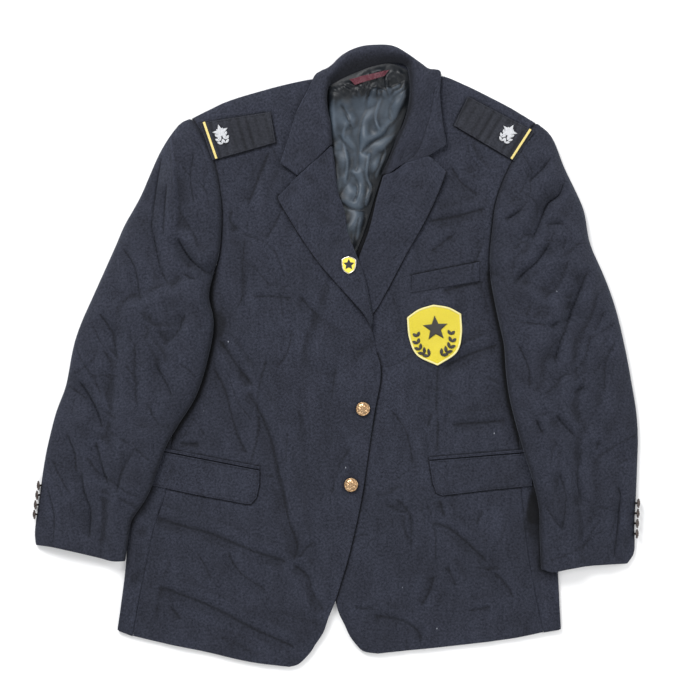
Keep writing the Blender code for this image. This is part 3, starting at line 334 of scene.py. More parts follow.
# The pieces' outlines by their edges; one with a minus runs backwards.
RINGS = {
    "front_left": "hem- cutaway- edge- inside_roll neck shoulder armhole underarm panel_seam",
    "front_right": "cutaway hem panel_seam- underarm- armhole- shoulder- neck- inside_roll- edge",
    "back_left": "back_neck centre_back back_hem back_seam- back_turn armhole- shoulder-",
    "back_right": "back_neck shoulder armhole back_turn back_seam back_hem- centre_back-",
    "side_left": "panel_seam side_hem side- side_top",
    "side_right": "panel_seam side_hem side- side_top",
    "sleeve_left": "armhole sleeve_inner cuff- sleeve_outer-",
    "sleeve_right": "armhole sleeve_inner cuff- sleeve_outer-",
    "lapel_right": "lapel_edge gorge- roll-",
}

# Heights of the front's face along the armhole seam: (y, height).
ARMHOLE_HEIGHT = [(100, 7.0), (130, 8.2), (165, 9.6), (216, 11.0), (262, 11.5), (296, 9.5),
                  (308, 7.0), (320, 4.5)]

# Sections of a sleeve: (share of the length from the shoulder, height, width that turns under
# the outer edge, width that turns under the inner edge). The seamed share ends at the underarm.
SLEEVE_SECTIONS = [(0.0, 16.0, 1.6, 1.6), (0.1, 22.0, 7.0, 2.0), (0.25, 26.0, 17.0, 2.0),
                   (0.39, 25.0, 19.0, 2.0), (0.5, 22.0, 20.0, 17.0), (0.75, 17.0, 20.0, 20.0),
                   (1.0, 12.5, 18.0, 18.0)]
ARMHOLE_SHARE = 0.37
SLEEVE_FROM = 0.004
ARMHOLE_GAP = 0.35
SEAM_TURN = 2.6

# The cloth that turns under a sleeve's edge: (share of its width, share of the way down).
LIP_COLUMNS = ((0.03, 0.3), (0.07, 0.62), (0.13, 0.88), (0.22, 1.0), (0.6, 1.0), (1.0, 1.0))

# The painted shadows where a sleeve stands off the body: corners, how dark, and how soft the edge.
PAINTED_SLEEVE_SHADOWS = {
    "left": [([(-176, 58), (-156, 62), (-148, 44), (-154, 27), (-168, 16), (-180, 20)], 1.1, 8),
             ([(-168, 26), (-152, 24), (-134, -2), (-116, -34), (-122, -40), (-146, -10)], 0.55, 9),
             ([(-170, 10), (-166, -8), (-181, -40), (-203, -76), (-212, -96), (-200, -40)],
              1.0, 9)],
    "right": [([(268, -170), (259, -186), (255, -208), (254, -222), (262, -228), (292, -226),
                (292, -170)], 1.5, 4),
              ([(262, -190), (254, -216), (251, -234), (260, -244), (292, -246), (292, -190)],
               1.1, 12),
              ([(251, -232), (256, -254), (266, -272), (276, -288), (292, -290), (292, -232)],
               0.6, 11)],
}

# Trim.
BREAST_WELT = [(100, 85), (192, 101), (192, 127), (101, 109)]
FRONT_BUTTONS = {"front_button_upper": (35, -71), "front_button_lower": (19, -173)}
BADGES = {"left": ((-155, 297), 17), "right": ((229.5, 298), -31)}
PATCH_CENTRE, PATCH_SIZE, PATCH_TILT = (132.5, 28), (73, 82), math.radians(4)
PIN_CENTRE, PIN_SIZE = (16, 121.5), (19.5, 24)
STAR_POINTS = 5
LABEL = [(16, 372), (24, 363.5), (64, 376), (71, 385)]

# Buttons: (radius, height) from the foot's centre out and up to the top's centre.
FRONT_BUTTON = [(0, 0), (2.4, 0), (2.4, 1.2), (8.2, 1.5), (9.2, 2.1), (9.4, 2.7), (9.2, 3.3),
                (8.7, 3.6), (8.1, 3.5), (7.6, 3.15), (7.1, 3.2), (6.4, 3.6), (5.6, 3.95),
                (4.6, 4.3), (3.6, 4.6), (2.8, 4.8), (2.2, 4.7), (1.7, 4.75), (1.0, 5.05), (0, 5.2)]
CUFF_BUTTON = [(0, -2.5), (1.4, -2.5), (1.4, 0.9), (5.8, 1.1), (6.4, 1.7), (6.4, 2.3), (6.0, 2.75),
               (5.5, 2.7), (5.1, 2.45), (4.5, 2.8), (3.6, 3.3), (2.6, 3.7), (1.8, 3.75),
               (1.2, 3.95), (0, 4.2)]
CUFF_BUTTON_HEIGHT = 8.6

# The view: the image's centre on the floor, and the width of floor that it takes in; the floor's
# own width, and how far it is below the cloth, in metres. Lights: name, place, size and power.
VIEW_CENTRE = (0.0183, 0.0079)
VIEW_WIDTH = 0.945
LENS = 85.0
SENSOR = 36.0
FLOOR_SIZE, FLOOR_BELOW = 6.0, 0.0003
SKY, SKY_STRENGTH = (0.97, 0.98, 1.0, 1), 0.56
LIGHTS = (("key", (-1.0, 1.8, 1.7), 1.2, 74), ("fill", (2.0, 0.2, 1.7), 1.6, 30),
          ("low", (-0.9, -1.9, 1.8), 1.8, 20))

# --- curves and distances ------------------------------------------------------------------------

DRAWN = {}
BATCH = 4000


def ease(t):
    """0 to 1, level at both ends."""
    t = np.clip(t, 0, 1)
    return t * t * (3 - 2 * t)


def rounded(t):
    """A quarter circle: 0 at 0, upright there, and level from 1."""
    return np.sqrt(1 - (1 - np.clip(t, 0, 1)) ** 2)


def bell(distance, half):
    return np.exp(-(distance / half) ** 2)


def unit(ways):
    return ways / np.maximum(np.linalg.norm(ways, axis=-1), 1e-9)[..., None]


def left_of(ways):
    """The ways turned a quarter to the left."""
    return np.stack([-ways[:, 1], ways[:, 0]], axis=1)


def lengths(line):
    """The length along a line at each of its points."""
    return np.concatenate([[0], np.cumsum(np.linalg.norm(np.diff(line, axis=0), axis=1))])


def along_line(line, spots):
    along = lengths(line)
    return np.stack([np.interp(spots * along[-1], along, line[:, k])
                     for k in range(line.shape[1])], axis=1)


def between(a, b, c, d, t):
    """A point of the smooth curve from b to c, with a before and d after them."""
    return 0.5 * (2 * b + (c - a) * t + (2 * a - 5 * b + 4 * c - d) * t ** 2
                  + (3 * b - a - 3 * c + d) * t ** 3)


def with_ends(points):
    p = np.array(points, float)
    return [2 * p[0] - p[1], *p, 2 * p[-1] - p[-2]]


def drawn(points, step):
    ends = with_ends(points)
    fine = [between(*four, t) for four in zip(ends, ends[1:], ends[2:], ends[3:])
            for t in np.linspace(0, 1, 24, endpoint=False)]
    fine = np.array([*fine, ends[-2]])
    along = lengths(fine)
    spots = np.linspace(0, along[-1], max(1, round(along[-1] / step)) + 1)
    return np.stack([np.interp(spots, along, column) for column in fine.T], axis=1)


def smooth(points, step):
    """Points a step apart, on a curve through the given ones."""
    key = (tuple(map(tuple, points)), step)
    if key not in DRAWN:
        DRAWN[key] = drawn(points, step)
    return DRAWN[key]


def shares(points, where):
    """The points at these shares, 0 to 1, of a smooth curve's length."""
    return along_line(smooth(points, 1.5), np.asarray(where))


def closed(curves):
    """One ring from curves that meet end to start."""
    return np.vstack([curve[:-1] for curve in curves])


def beside(points, by, begins):
    """A curve moved sideways, from nothing at its start to the whole at this share."""
    fine = shares(points, np.linspace(0, 1, 12))
    whole = ease((np.linspace(0, 1, 12) - begins + 0.1) / 0.1)[:, None]
    return [tuple(p) for p in fine + left_of(unit(np.gradient(fine, axis=0))) * by * whole]


def straight(a, b, step):
    """Points about a step apart from a to b."""
    a, b = np.array(a, float), np.array(b, float)
    count = max(1, round(np.linalg.norm(b - a) / step))
    return np.array([a + (b - a) * k / count for k in range(count + 1)])


def polygon(corners, step):
    """A ring with straight sides and points about a step apart."""
    return closed([straight(a, b, step) for a, b in zip(corners, corners[1:] + corners[:1])])


def nearest(xy, line):
    """Distance from each point to a line of points, the share along it, and the side (+1, -1)."""
    start, run = line[:-1], np.diff(line, axis=0)
    along = lengths(line)
    found = []
    for k in range(0, len(xy), BATCH):
        apart = xy[k:k + BATCH, None] - start
        share = np.clip((apart * run).sum(axis=2) / np.maximum((run ** 2).sum(axis=1), 1e-9), 0, 1)
        off = apart - share[..., None] * run
        away = np.linalg.norm(off, axis=2)
        best = away.argmin(axis=1)
        rows = np.arange(len(best))
        turn = run[best, 0] * off[rows, best, 1] - run[best, 1] * off[rows, best, 0]
        spot = along[best] + share[rows, best] * (along[best + 1] - along[best])
        found.append(np.stack([away[rows, best], spot / along[-1], np.sign(turn)]))
    return np.concatenate(found, axis=1)


def to_line(xy, line):
    """Distance of each point from a line of points."""
    start, run = line[:-1], np.diff(line, axis=0)
    square = np.maximum((run ** 2).sum(axis=1), 1e-9)
    found = []
    for k in range(0, len(xy), BATCH):
        apart = xy[k:k + BATCH, None] - start
        share = np.clip((apart * run).sum(axis=2) / square, 0, 1)
        apart -= share[..., None] * run
        found.append(np.sqrt((apart ** 2).sum(axis=2).min(axis=1)))
    return np.concatenate(found)


def inside(xy, ring):
    """Whether each point is inside a ring."""
    (x0, y0), (x1, y1) = ring.T, np.roll(ring, -1, axis=0).T
    rise = np.where(y1 == y0, 1e-9, y1 - y0)
    found = []
    for k in range(0, len(xy), BATCH):
        x, y = xy[k:k + BATCH].T[..., None]
        crosses = ((y0 > y) != (y1 > y)) & (x < x0 + (y - y0) * (x1 - x0) / rise)
        found.append(crosses.sum(axis=1) % 2 == 1)
    return np.concatenate(found)


def outside_by(xy, ring):
    """How far outside a ring each point is, negative inside it."""
    far = to_line(xy, np.vstack([ring, ring[:1]]))
    return np.where(inside(xy, ring), -far, far)


def over(xy, ring, amount, cover=COVER, ramp=RAMP):
    """The lift of a cloth that passes over a piece with this ring."""
    return amount * ease((cover + ramp - outside_by(xy, ring)) / ramp)


def along_table(values, rows, column):
    return np.interp(values, [row[0] for row in rows], [row[column] for row in rows])


def signed_area(ring):
    x, y = ring.T
    return np.sum(x * np.roll(y, -1) - np.roll(x, -1) * y) / 2


# --- the cloth's relief: creases, ripples and furrows --------------------------------------------

def near_line(xy, line, half):
    """The points that a crease or furrow along a line can reach."""
    low, high = line.min(axis=0) - 4 * half, line.max(axis=0) + 4 * half
    return np.flatnonzero(((xy > low) & (xy < high)).all(axis=1))


def creases(xy, rows):
    """The depth of a table of creases: a trough with one steep flank and a low ridge beside it,
    deeper and shallower along its length and gone at its ends."""
    depth = np.zeros(len(xy))
    for path, deep, half in rows:
        line = smooth(path, 5.0)
        near = near_line(xy, line, half)
        if not len(near):
            continue
        away, share, side = nearest(xy[near], line)
        length = lengths(line)[-1]
        ends = ease(share * length / (1.8 * half)) * ease((1 - share) * length / (1.8 * half))
        uneven = 0.82 + 0.18 * np.sin(share * length / 13 + path[0][0])
        flank = half * np.where(side > 0, STEEP, GENTLE)
        trough = bell(away, flank) + CRISP * bell(away, CRISP_HALF)
        beyond = half * np.where(side > 0, 1.5, 2.4)
        ridge = bell(away - beyond, 0.8 * half) * np.where(side > 0, 0.4, 0.15)
        depth[near] += deep * (trough - ridge) * ends * uneven
    return depth


def ripple(xy, seed, shortest, longest, height):
    """A low swell of waves in all directions, always the same for a seed."""
    draw = np.random.RandomState(seed)
    made = np.zeros(len(xy))
    for _ in range(18):
        wave = shortest * (longest / shortest) ** draw.rand()
        turn, phase = draw.rand(2) * 2 * math.pi
        way = np.array([math.cos(turn), math.sin(turn)]) * 2 * math.pi / wave
        made += np.sin(xy @ way + phase) * (wave / longest) ** 0.7
    return made * height / 3


def scattered(ring, count, seed, lean, spread_by, depth):
    """Short, shallow creases strewn over a piece, most of them leaning the same way."""
    draw = np.random.RandomState(seed)
    low, high = ring.min(axis=0), ring.max(axis=0)
    rows = []
    while len(rows) < count:
        spot = low + draw.rand(2) * (high - low)
        turn = math.radians(lean + spread_by * draw.randn())
        long, bend, deep, half = 14 + 34 * draw.rand(), draw.randn() * 0.2, draw.rand(), draw.rand()
        if not inside(spot[None], ring)[0]:
            continue
        way = np.array([math.cos(turn), math.sin(turn)])
        side = np.array([-way[1], way[0]])
        path = [tuple(spot + way * long * t + side * long * bend * (t * t - 0.3))
                for t in (-1, 0, 1)]
        sign = 1 if draw.rand() < 0.65 else -1
        rows.append((path, depth * (0.3 + deep) * sign, 2.6 + 3.4 * half))
    return rows


def shallow(depth):
    """Troughs that cross are no deeper than one."""
    return np.where(depth > 0, DEEPEST_TROUGH * np.tanh(depth / DEEPEST_TROUGH), depth)


# --- layout: rings of the pieces and the heights of their faces ----------------------------------

def rings(step):
    """The outlines of the large pieces, with points a step apart."""
    found = {"collar_fall": polygon(COLLAR_FALL, step)}
    for name, edges in RINGS.items():
        side = EDGES[name.split("_")[-1]]
        found[name] = closed([smooth(side[edge.rstrip("-")], step)[::-1 if edge[-1] == "-" else 1]
                              for edge in edges.split()])
    for side in SIDES:
        found["flap_" + side] = polygon(EDGES[side]["flap"], step)
    return found


def furrows(side):
    """The lines along which a front is pressed or stitched down, or lies under an edge: (line,
    depth, half-width). shaded() also paints shade along them, by their depth.
    """
    edges = EDGES[side]
    found = [(smooth(edges["dart"], 3.0), 0.45, 1.5),
             (shares(edges["lapel_edge"], np.linspace(0.12, 1, 90)), 1.0, 1.9),
             (smooth(edges["sleeve_inner"], 5.0), 2.0, 3.2),
             (smooth(edges["armhole"], 4.0), 0.9, 2.2)]
    trims = [(edges["flap"], 0.9), (edges["jet"], 0.7), (edges["mark"], 0.8)]
    if side == "right":
        trims.append((BREAST_WELT, 0.25))
        found += [(smooth(EDGES["left"]["edge"], 4.0), 0.9, 2.4),
                  (straight(*BREAST_WELT[2:], 3.0), 1.3, 1.7)]
    for corners, depth in trims:
        ring = polygon(corners, 3.0)
        found.append((np.vstack([ring, ring[:1]]), depth, 1.5))
    return found


for side, edges in EDGES.items():
    edges["inside_roll"] = beside(edges["roll"], WAY[side] * ROLL_ROOM, LAPEL_FROM)
    edges["sleeve_join"] = edges["armhole"] + edges["sleeve_inner"][1:]
LAYERS = rings(LAYER_STEP)
OUTLINES = rings(RIM_STEP)
FURROWS = {side: furrows(side) for side in SIDES}
STREWN = {name: scattered(LAYERS[name], *how) for name, how in STREWN_COUNTS.items()}


def beside_sleeve(xy, side):
    return np.maximum(outside_by(xy, LAYERS["sleeve_" + side]), 0)


def painted_sleeve_shadow(xy, side):
    """Painted shadow on the cloth close under a sleeve's edge and where the sleeve stands off it.
    """
    away = beside_sleeve(xy, side)
    dark = 1.1 * bell(away, 3.4) + 0.35 * bell(away, 12)
    for corners, depth, soft in PAINTED_SLEEVE_SHADOWS[side]:
        far = outside_by(xy, polygon(corners, 6.0))
        dark = np.maximum(dark, depth * ease(0.5 - far / soft))
    return dark * ease((100 - xy[:, 1]) / 40)


def back_floor(xy):
    """The underside of the back: on the floor, and over the collar's fall at the neck."""
    return over(xy, LAYERS["collar_fall"], BACK_OVER_FALL, 7.0, 22.0)


def back_face(xy):
    return back_floor(xy) + WOOL


def face(xy, side):
    """The face of a front without its folds: a swell at the armhole and along the shoulder."""
    armhole, shoulder = (smooth(EDGES[side][edge], 8.0) for edge in ("armhole", "shoulder"))
    high = np.full(len(xy), FRONT_FLOOR + FRONTED)
    high += (along_table(xy[:, 1], ARMHOLE_HEIGHT, 1) - high) * bell(to_line(xy, armhole), 34)
    across = to_line(xy, shoulder)
    near_neck = {"left": -30, "right": 140}[side]
    swell = 5.5 * ease(np.abs(xy[:, 0] - near_neck) / 90)
    high += swell * rounded(across / 32) * bell(across, 75)
    high -= 1.3 * (1 - rounded(across / 20))
    return np.maximum(high, back_face(xy) + 2 * GAP + FRONTED)


def shown(xy, side):
    """1 where a front shows beside its sleeve, 0 under the sleeve."""
    return ease((outside_by(xy, LAYERS["sleeve_" + side]) - 2) / 16)


def seams(xy, side):
    """The depth of a front's furrows."""
    deep = np.zeros(len(xy))
    for line, depth, half in FURROWS[side]:
        near = near_line(xy, line, half)
        if len(near):
            deep[near] = np.maximum(deep[near], depth * bell(to_line(xy[near], line), half))
    return deep


def shaded(xy, side):
    """Painted shade on a front: in its furrows, in a ring round its buttons, beside its sleeve and
    in its crease troughs.
    """
    away = beside_sleeve(xy, side)
    fold = ease((135 - xy[:, 1]) / 40)
    # A ring of painted shadow round each button.
    painted_button_shadow = sum(bell(np.linalg.norm(xy - spot, axis=1) - 8.5, 2.6)
                        for spot in FRONT_BUTTONS.values())
    # Painted shadow beside the sleeve, wider below the armhole.
    nook = (0.7 + 0.3 * fold) * bell(away, 2.2 + 3.8 * fold) + 0.4 * fold * bell(away, 17)
    # Painted shade in the crease troughs where the front shows.
    troughs = np.clip(creases(xy, CREASES[side]) / 2.4, 0, 1) * shown(xy, side)
    return (np.clip(1.1 * seams(xy, side), 0, 1) + np.maximum(nook, painted_sleeve_shadow(xy, side))
            + 0.8 * painted_button_shadow + 0.4 * troughs)


def front_form(xy, side):
    """A front's face with its folds and furrows; the left one climbs over the right one."""
    on_front = on_lapel = 0.0
    if side == "left":
        on_front = over(xy, LAYERS["front_right"], 1.0) * ease((290 - xy[:, 1]) / 80)
        on_lapel = over(xy, LAYERS["lapel_right"], 1.0) * ease((190 - xy[:, 1]) / 50)
    depth = shallow(BOLD * (creases(xy, CREASES[side]) + creases(xy, STREWN["front_" + side])))
    depth -= ripple(xy, {"left": 12, "right": 11}[side], 30, 130, 0.7)
    return (face(xy, side) + on_front * LEFT_OVER_RIGHT + on_lapel * LEFT_OVER_LAPEL
            - depth * shown(xy, side) * (1 - on_front * 0.5) * (1 - on_lapel * 0.8)
            - seams(xy, side))


def sampled(surface, ring, step=1.5, margin=30.0):
    """The same surface, worked out once on a close grid round a ring, read between its points."""
    low, high = ring.min(axis=0) - margin, ring.max(axis=0) + margin
    count = np.ceil((high - low) / step).astype(int) + 1
    x, y = (low[k] + step * np.arange(count[k]) for k in (0, 1))
    heights = surface(np.stack(np.meshgrid(x, y), axis=-1).reshape(-1, 2)).reshape(len(y), len(x))

    def read(xy):
        spot = np.clip((xy - low) / step, 0, count - 1.001)
        (i, j), (u, v) = spot.astype(int).T, (spot % 1).T
        return ((heights[j, i] * (1 - u) + heights[j, i + 1] * u) * (1 - v)
                + (heights[j + 1, i] * (1 - u) + heights[j + 1, i + 1] * u) * v)

    return read


FACES = {side: sampled(lambda xy: front_form(xy, side), LAYERS["front_" + side]) for side in SIDES}


def sleeve_floor(xy, side):
    """What a sleeve lies on: the floor, and the side of the body with its pocket flap."""
    body = np.maximum(over(xy, LAYERS["front_" + side], 1.0), over(xy, LAYERS["side_" + side], 1.0))
    body *= ease((150 - xy[:, 1]) / 34)
    flap = over(xy, LAYERS["flap_" + side], WOOL + 2 * GAP)
    return body * (face(xy, side) + 1.5 * GAP + flap)


def lying_on(surface, lift, reach=5.0):
    """The height of a piece that lies on a surface: its highest point near by, moved out."""
    around = [(0, 0)] + [(reach * math.cos(a), reach * math.sin(a))
                         for a in np.linspace(0, 2 * math.pi, 8, endpoint=False)]
    return lambda xy: np.max([surface(xy + offset) for offset in around], axis=0) + lift


# --- meshes --------------------------------------------------------------------------------------

def mesh_piece(name, points, faces, finish, grain, shade_to_paint=0.0):
    """One closed mesh from points in millimetres, with its faces pointing out. grain holds each
    point's place on the cloth as it was cut, in metres, which the weave follows."""
    points = np.asarray(points, float)
    points[:, 2] = np.maximum(points[:, 2], 0.0)
    points = (points - (*ORIGIN, 0)) * MM
    mesh = bpy.data.meshes.new(name)
    mesh.from_pydata(points.tolist(), [], [tuple(int(k) for k in f) for f in faces])
    triangles = np.array([(f[0], f[k], f[k + 1]) for f in faces for k in range(1, len(f) - 1)])
    if np.linalg.det(points[triangles]).sum() < 0:
        mesh.flip_normals()
    mesh.shade_smooth()
    mesh.materials.append(finish)
    cut = mesh.attributes.new("grain", "FLOAT_VECTOR", "POINT")
    cut.data.foreach_set("vector", np.asarray(grain, float).reshape(-1))
    store_painted_light(mesh, points, shade_to_paint)
    made = bpy.data.objects.new(name, mesh)
    bpy.context.scene.collection.objects.link(made)
    return made


def store_painted_light(mesh, points, shade_to_paint):
    """Stores how far each point lies below the cloth round it, from -1 on a ridge to 1 in a
    crease, as painted shade in creases and a painted highlight on ridges, and the painted shade
    given for it, from 0 up, by which the finishes darken the colour."""
    count = len(points)
    edges = np.empty(len(mesh.edges) * 2, int)
    mesh.edges.foreach_get("vertices", edges)
    a, b = edges.reshape(-1, 2).T
    ends, others = np.concatenate([a, b]), np.concatenate([b, a])
    degree = np.maximum(np.bincount(ends, minlength=count), 1)
    soft = points / MM
    for _ in range(HOLLOW_ROUNDS):
        mean = np.stack([np.bincount(ends, soft[others, k], count) for k in range(3)], axis=1)
        soft = (soft + mean / degree[:, None]) / 2
    normals = np.empty(count * 3)
    mesh.vertices.foreach_get("normal", normals)
    # Painted light: below the smoothed cloth gets painted shade, above it a painted highlight.
    lift = ((soft - points / MM) * normals.reshape(-1, 3)).sum(axis=1)
    # Painted shade given by the piece: in corners, furrows, under edges and beside sleeves.
    nook = np.broadcast_to(np.clip(shade_to_paint, 0, DARKEST_PAINTED_SHADE), count).copy()
    for name, values in (("hollow", np.clip(lift / HOLLOW, -1, 1)), ("nook", nook)):
        mesh.attributes.new(name, "FLOAT", "POINT").data.foreach_set("value", values)


def dressed(piece, replaced=True):
    """The piece rides on the one body, and takes the place of the node that it is named after."""
    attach(piece, "root")
    if replaced:
        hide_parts(piece.name.rsplit("_", 1)[0])
    return piece


def laid(piece, cut):
    """The width, length and area of a laid cloth, worked out from its cut (a flat ring, or the grid
    of points of a shaped cloth) and not used further.
    """
    if cut.ndim == 2:
        (wide, long), area = cut.max(axis=0) - cut.min(axis=0), abs(signed_area(cut))
    else:
        down, aside = np.diff(cut, axis=0)[:, :-1], np.diff(cut, axis=1)[:-1]
        area = np.linalg.norm(np.cross(down, aside), axis=2).sum()
        across, _ = grid_lengths(cut)
        long = max(lengths(cut[:, k])[-1] for k in range(0, cut.shape[1], 3))
        wide = max((across.max(axis=1) - across.min(axis=1)).max(), area / long)


def inset(ring, by):
    """A ring moved inwards by a little."""
    normal = left_of(unit(np.roll(ring, -1, axis=0) - ring)) * np.sign(signed_area(ring))
    both = normal + np.roll(normal, 1, axis=0)
    both /= np.maximum(np.einsum("ij,ij->i", both, both) / 2, 0.6)[:, None]
    return ring + both * by


def filled(ring, step, edge, knots):
    """Points and triangles that fill a ring, with rows of points close to its rounded edge."""
    rows = []
    for by in (0.2 * edge, 0.55 * edge, edge, 2.2 * edge):
        row = inset(ring, by)
        rows.append(row[-outside_by(row, ring) > 0.8 * by])
    low, high = ring.min(axis=0), ring.max(axis=0)
    levels = np.arange(low[1], high[1], step * 0.866)
    grid = np.array([(x + (step / 2 if k % 2 else 0), y) for k, y in enumerate(levels)
                     for x in np.arange(low[0], high[0], step)]).reshape(-1, 2)
    clear = 2.2 * edge + 0.45 * step
    if len(knots):
        knots = knots[-outside_by(knots, ring) > clear]
    if len(knots):
        apart = [np.linalg.norm(grid[k:k + BATCH, None] - knots, axis=2).min(axis=1)
                 for k in range(0, len(grid), BATCH)]
        grid = np.vstack([grid[np.concatenate(apart) > 0.6 * step], knots])
    grid = grid[-outside_by(grid, ring) > clear]
    points = [Vector(p) for p in np.vstack([ring, *rows, grid])]
    made = delaunay_2d_cdt(points, [], [list(range(len(ring)))], 1, 1e-5)
    return np.array([tuple(p) for p in made[0]]), [list(f) for f in made[2]]


def on_and_beside(lines):
    """Points on and close beside some lines, so that a crease's bottom has its own."""
    found = []
    for line in lines:
        fine = smooth(line, 3.0)
        side = left_of(unit(np.gradient(fine, axis=0)))
        found += [fine, fine + side * 1.5, fine - side * 1.5]
    return np.vstack(found)


def turned(xy, degrees):
    c, s = math.cos(math.radians(degrees)), math.sin(math.radians(degrees))
    return xy @ np.array([[c, -s], [s, c]])


def panel(name, ring, low, high, finish, step=CLOTH_STEP, edge=1.2, seam=SEAM, knots=(), turn=0.0,
          shade_to_paint=None):
    """A flat piece of cloth with a rounded edge, between its lower and its upper height."""
    ring = inset(ring, seam)
    xy, faces = filled(ring, step, edge, knots)
    sides = {(a, b) for f in faces for a, b in zip(f, f[1:] + f[:1])}
    rim = {k for a, b in sides if (b, a) not in sides for k in (a, b)}
    depth = np.maximum(-outside_by(xy, ring), 0)
    depth[list(rim)] = 0
    bottom, top = low(xy), high(xy)
    middle, half = (bottom + top) / 2, (top - bottom) / 2 * rounded(depth / edge)
    within = np.array([k for k in range(len(xy)) if k not in rim])
    other = np.arange(len(xy))
    other[within] = len(xy) + np.arange(len(within))
    points = np.vstack([np.column_stack([xy, middle + half]),
                        np.column_stack([xy, middle - half])[within]])
    lower = [[other[k] for k in f[::-1]] for f in faces]
    cut = np.column_stack([turned(xy, turn) * MM, np.zeros(len(xy))])
    more = 0.0 if shade_to_paint is None else np.concatenate([shade_to_paint(xy), shade_to_paint(xy)[within]])
    return mesh_piece(name, points, faces + lower, finish, np.vstack([cut, cut[within]]), more)


def grid_lengths(grid):
    """The lengths across and along a grid's cloth at each point, from its middle column."""
    across = np.zeros(grid.shape[:2])
    across[:, 1:] = np.cumsum(np.linalg.norm(np.diff(grid, axis=1), axis=2), axis=1)
    middle = grid.shape[1] // 2
    across -= across[:, middle:middle + 1]
    return across, np.broadcast_to(lengths(grid[:, middle])[:, None], across.shape)


def wall(name, grid, thick, finish, turn=0.0, shade_to_paint=0.0):
    """A closed wall of this thickness round a grid of points, rows by columns, with a round rim."""
    rows, columns = grid.shape[:2]
    normal = unit(np.cross(np.gradient(grid, axis=0), np.gradient(grid, axis=1)))
    half = np.full((rows, columns, 1), thick / 2)
    half[[0, -1]] *= 0.72
    half[:, [0, -1]] *= 0.72
    loop = ([(0, c) for c in range(columns)] + [(r, columns - 1) for r in range(1, rows)]
            + [(rows - 1, c) for c in range(columns - 2, -1, -1)]
            + [(r, 0) for r in range(rows - 2, 0, -1)])
    r, c = np.array(loop).T
    away = unit(grid[r, c] - grid[np.clip(r, 1, rows - 2), np.clip(c, 1, columns - 2)])
    rim = grid[r, c] + away * thick * 0.28
    points = np.concatenate([(grid + normal * half).reshape(-1, 3),
                             (grid - normal * half).reshape(-1, 3), rim])
    size = rows * columns
    at = np.arange(size).reshape(rows, columns)
    quads = np.stack([at[:-1, :-1], at[1:, :-1], at[1:, 1:], at[:-1, 1:]], axis=-1).reshape(-1, 4)
    faces = quads.tolist() + (quads[:, ::-1] + size).tolist()
    edge, mid = at[r, c], 2 * size + np.arange(len(loop))
    edge_next, mid_next = np.roll(edge, -1), np.roll(mid, -1)
    faces += np.stack([edge, edge_next, mid_next, mid], axis=1).tolist()
    faces += np.stack([mid, mid_next, edge_next + size, edge + size], axis=1).tolist()
    cut = turned(np.stack(grid_lengths(grid), axis=-1).reshape(-1, 2), -turn) * MM
    cut = np.column_stack([cut, np.zeros(size)])
    more = np.broadcast_to(shade_to_paint, (rows, columns)).reshape(-1)
    return mesh_piece(name, points, faces, finish, np.vstack([cut, cut, cut[edge]]),
                      np.concatenate([more, more, more[edge]]))


def disc(name, centre, axis, profile, relief, finish, sides):
    """A button: (radius, height) rows from the foot's centre out and up to the top's centre, with
    relief(radius, angle) added to what faces up."""
    points, faces, rows = [], [], []
    turn = np.array(Vector((0, 0, 1)).rotation_difference(Vector(axis)).to_matrix())
    widest = max(radius for radius, _ in profile)
    top = False
    for radius, height in profile:
        top = top or radius == widest
        count = sides if radius > 0 else 1
        rows.append(len(points) + np.arange(count))
        for k in range(count):
            angle = 2 * math.pi * k / sides
            lift = relief(radius, angle) if top else 0
            points.append((radius * math.cos(angle), radius * math.sin(angle), height + lift))
    for low, high in zip(rows, rows[1:]):
        for k in range(sides):
            corner = (low[k % len(low)], low[(k + 1) % len(low)],
                      high[(k + 1) % len(high)], high[k % len(high)])
            faces.append(tuple(dict.fromkeys(corner)))
    points = np.array(points)
    return mesh_piece(name, points @ turn.T + centre, faces, finish, points * MM)


def tube(name, ring, heights, wide, tall, finish, thread):
    """A sewn-over edge or rim round a ring: an oval section whose threads slant round it."""
    way = unit(np.roll(ring, -1, axis=0) - np.roll(ring, 1, axis=0))
    side = -left_of(way)
    along = lengths(ring)
    turns = np.linspace(0, 2 * math.pi, 14, endpoint=False)
    swell = 1 + 0.10 * np.sin(along[:, None] * 2 * math.pi / thread + turns)
    xy = ring[:, None] + side[:, None] * (np.cos(turns) * wide * swell)[..., None]
    z = heights[:, None] + np.sin(turns) * tall * swell
    points = np.dstack([xy, z[..., None]]).reshape(-1, 3)
    at = np.arange(z.size).reshape(z.shape)
    on = np.roll(at, -1, axis=0)
    faces = np.stack([at, on, np.roll(on, -1, axis=1), np.roll(at, -1, axis=1)], axis=-1)
    cut = np.column_stack([np.repeat(along, len(turns)), np.tile(turns * wide, len(ring)),
                           np.zeros(z.size)])
    return mesh_piece(name, points, faces.reshape(-1, 4).tolist(), finish, cut * MM)


# --- finishes ------------------------------------------------------------------------------------

def finish(name, **sockets):
    """A new material, its tree and its shader, with plain values set on the shader's sockets."""
    made = bpy.data.materials.new(name)
    made.use_nodes = True
    shader = made.node_tree.nodes["Principled BSDF"]
    for socket, value in sockets.items():
        shader.inputs[socket.replace("_", " ")].default_value = value
    return made, made.node_tree, shader


def add(tree, kind, inputs, **settings):
    """A node with its settings, and its inputs joined to sockets or set to values."""
    made = tree.nodes.new(kind)
    for name, value in settings.items():
        setattr(made, name, value)
    for key, value in inputs.items():
        if isinstance(value, bpy.types.NodeSocket):
            tree.links.new(value, made.inputs[key])
        else:
            made.inputs[key].default_value = value
    return made


def link(tree, shader, **values):
    """Joins values to the shader's sockets."""
    for socket, value in values.items():
        tree.links.new(value, shader.inputs[socket.replace("_", " ")])


def stored(tree, name, output="Fac"):
    return add(tree, "ShaderNodeAttribute", {}, attribute_name=name).outputs[output]


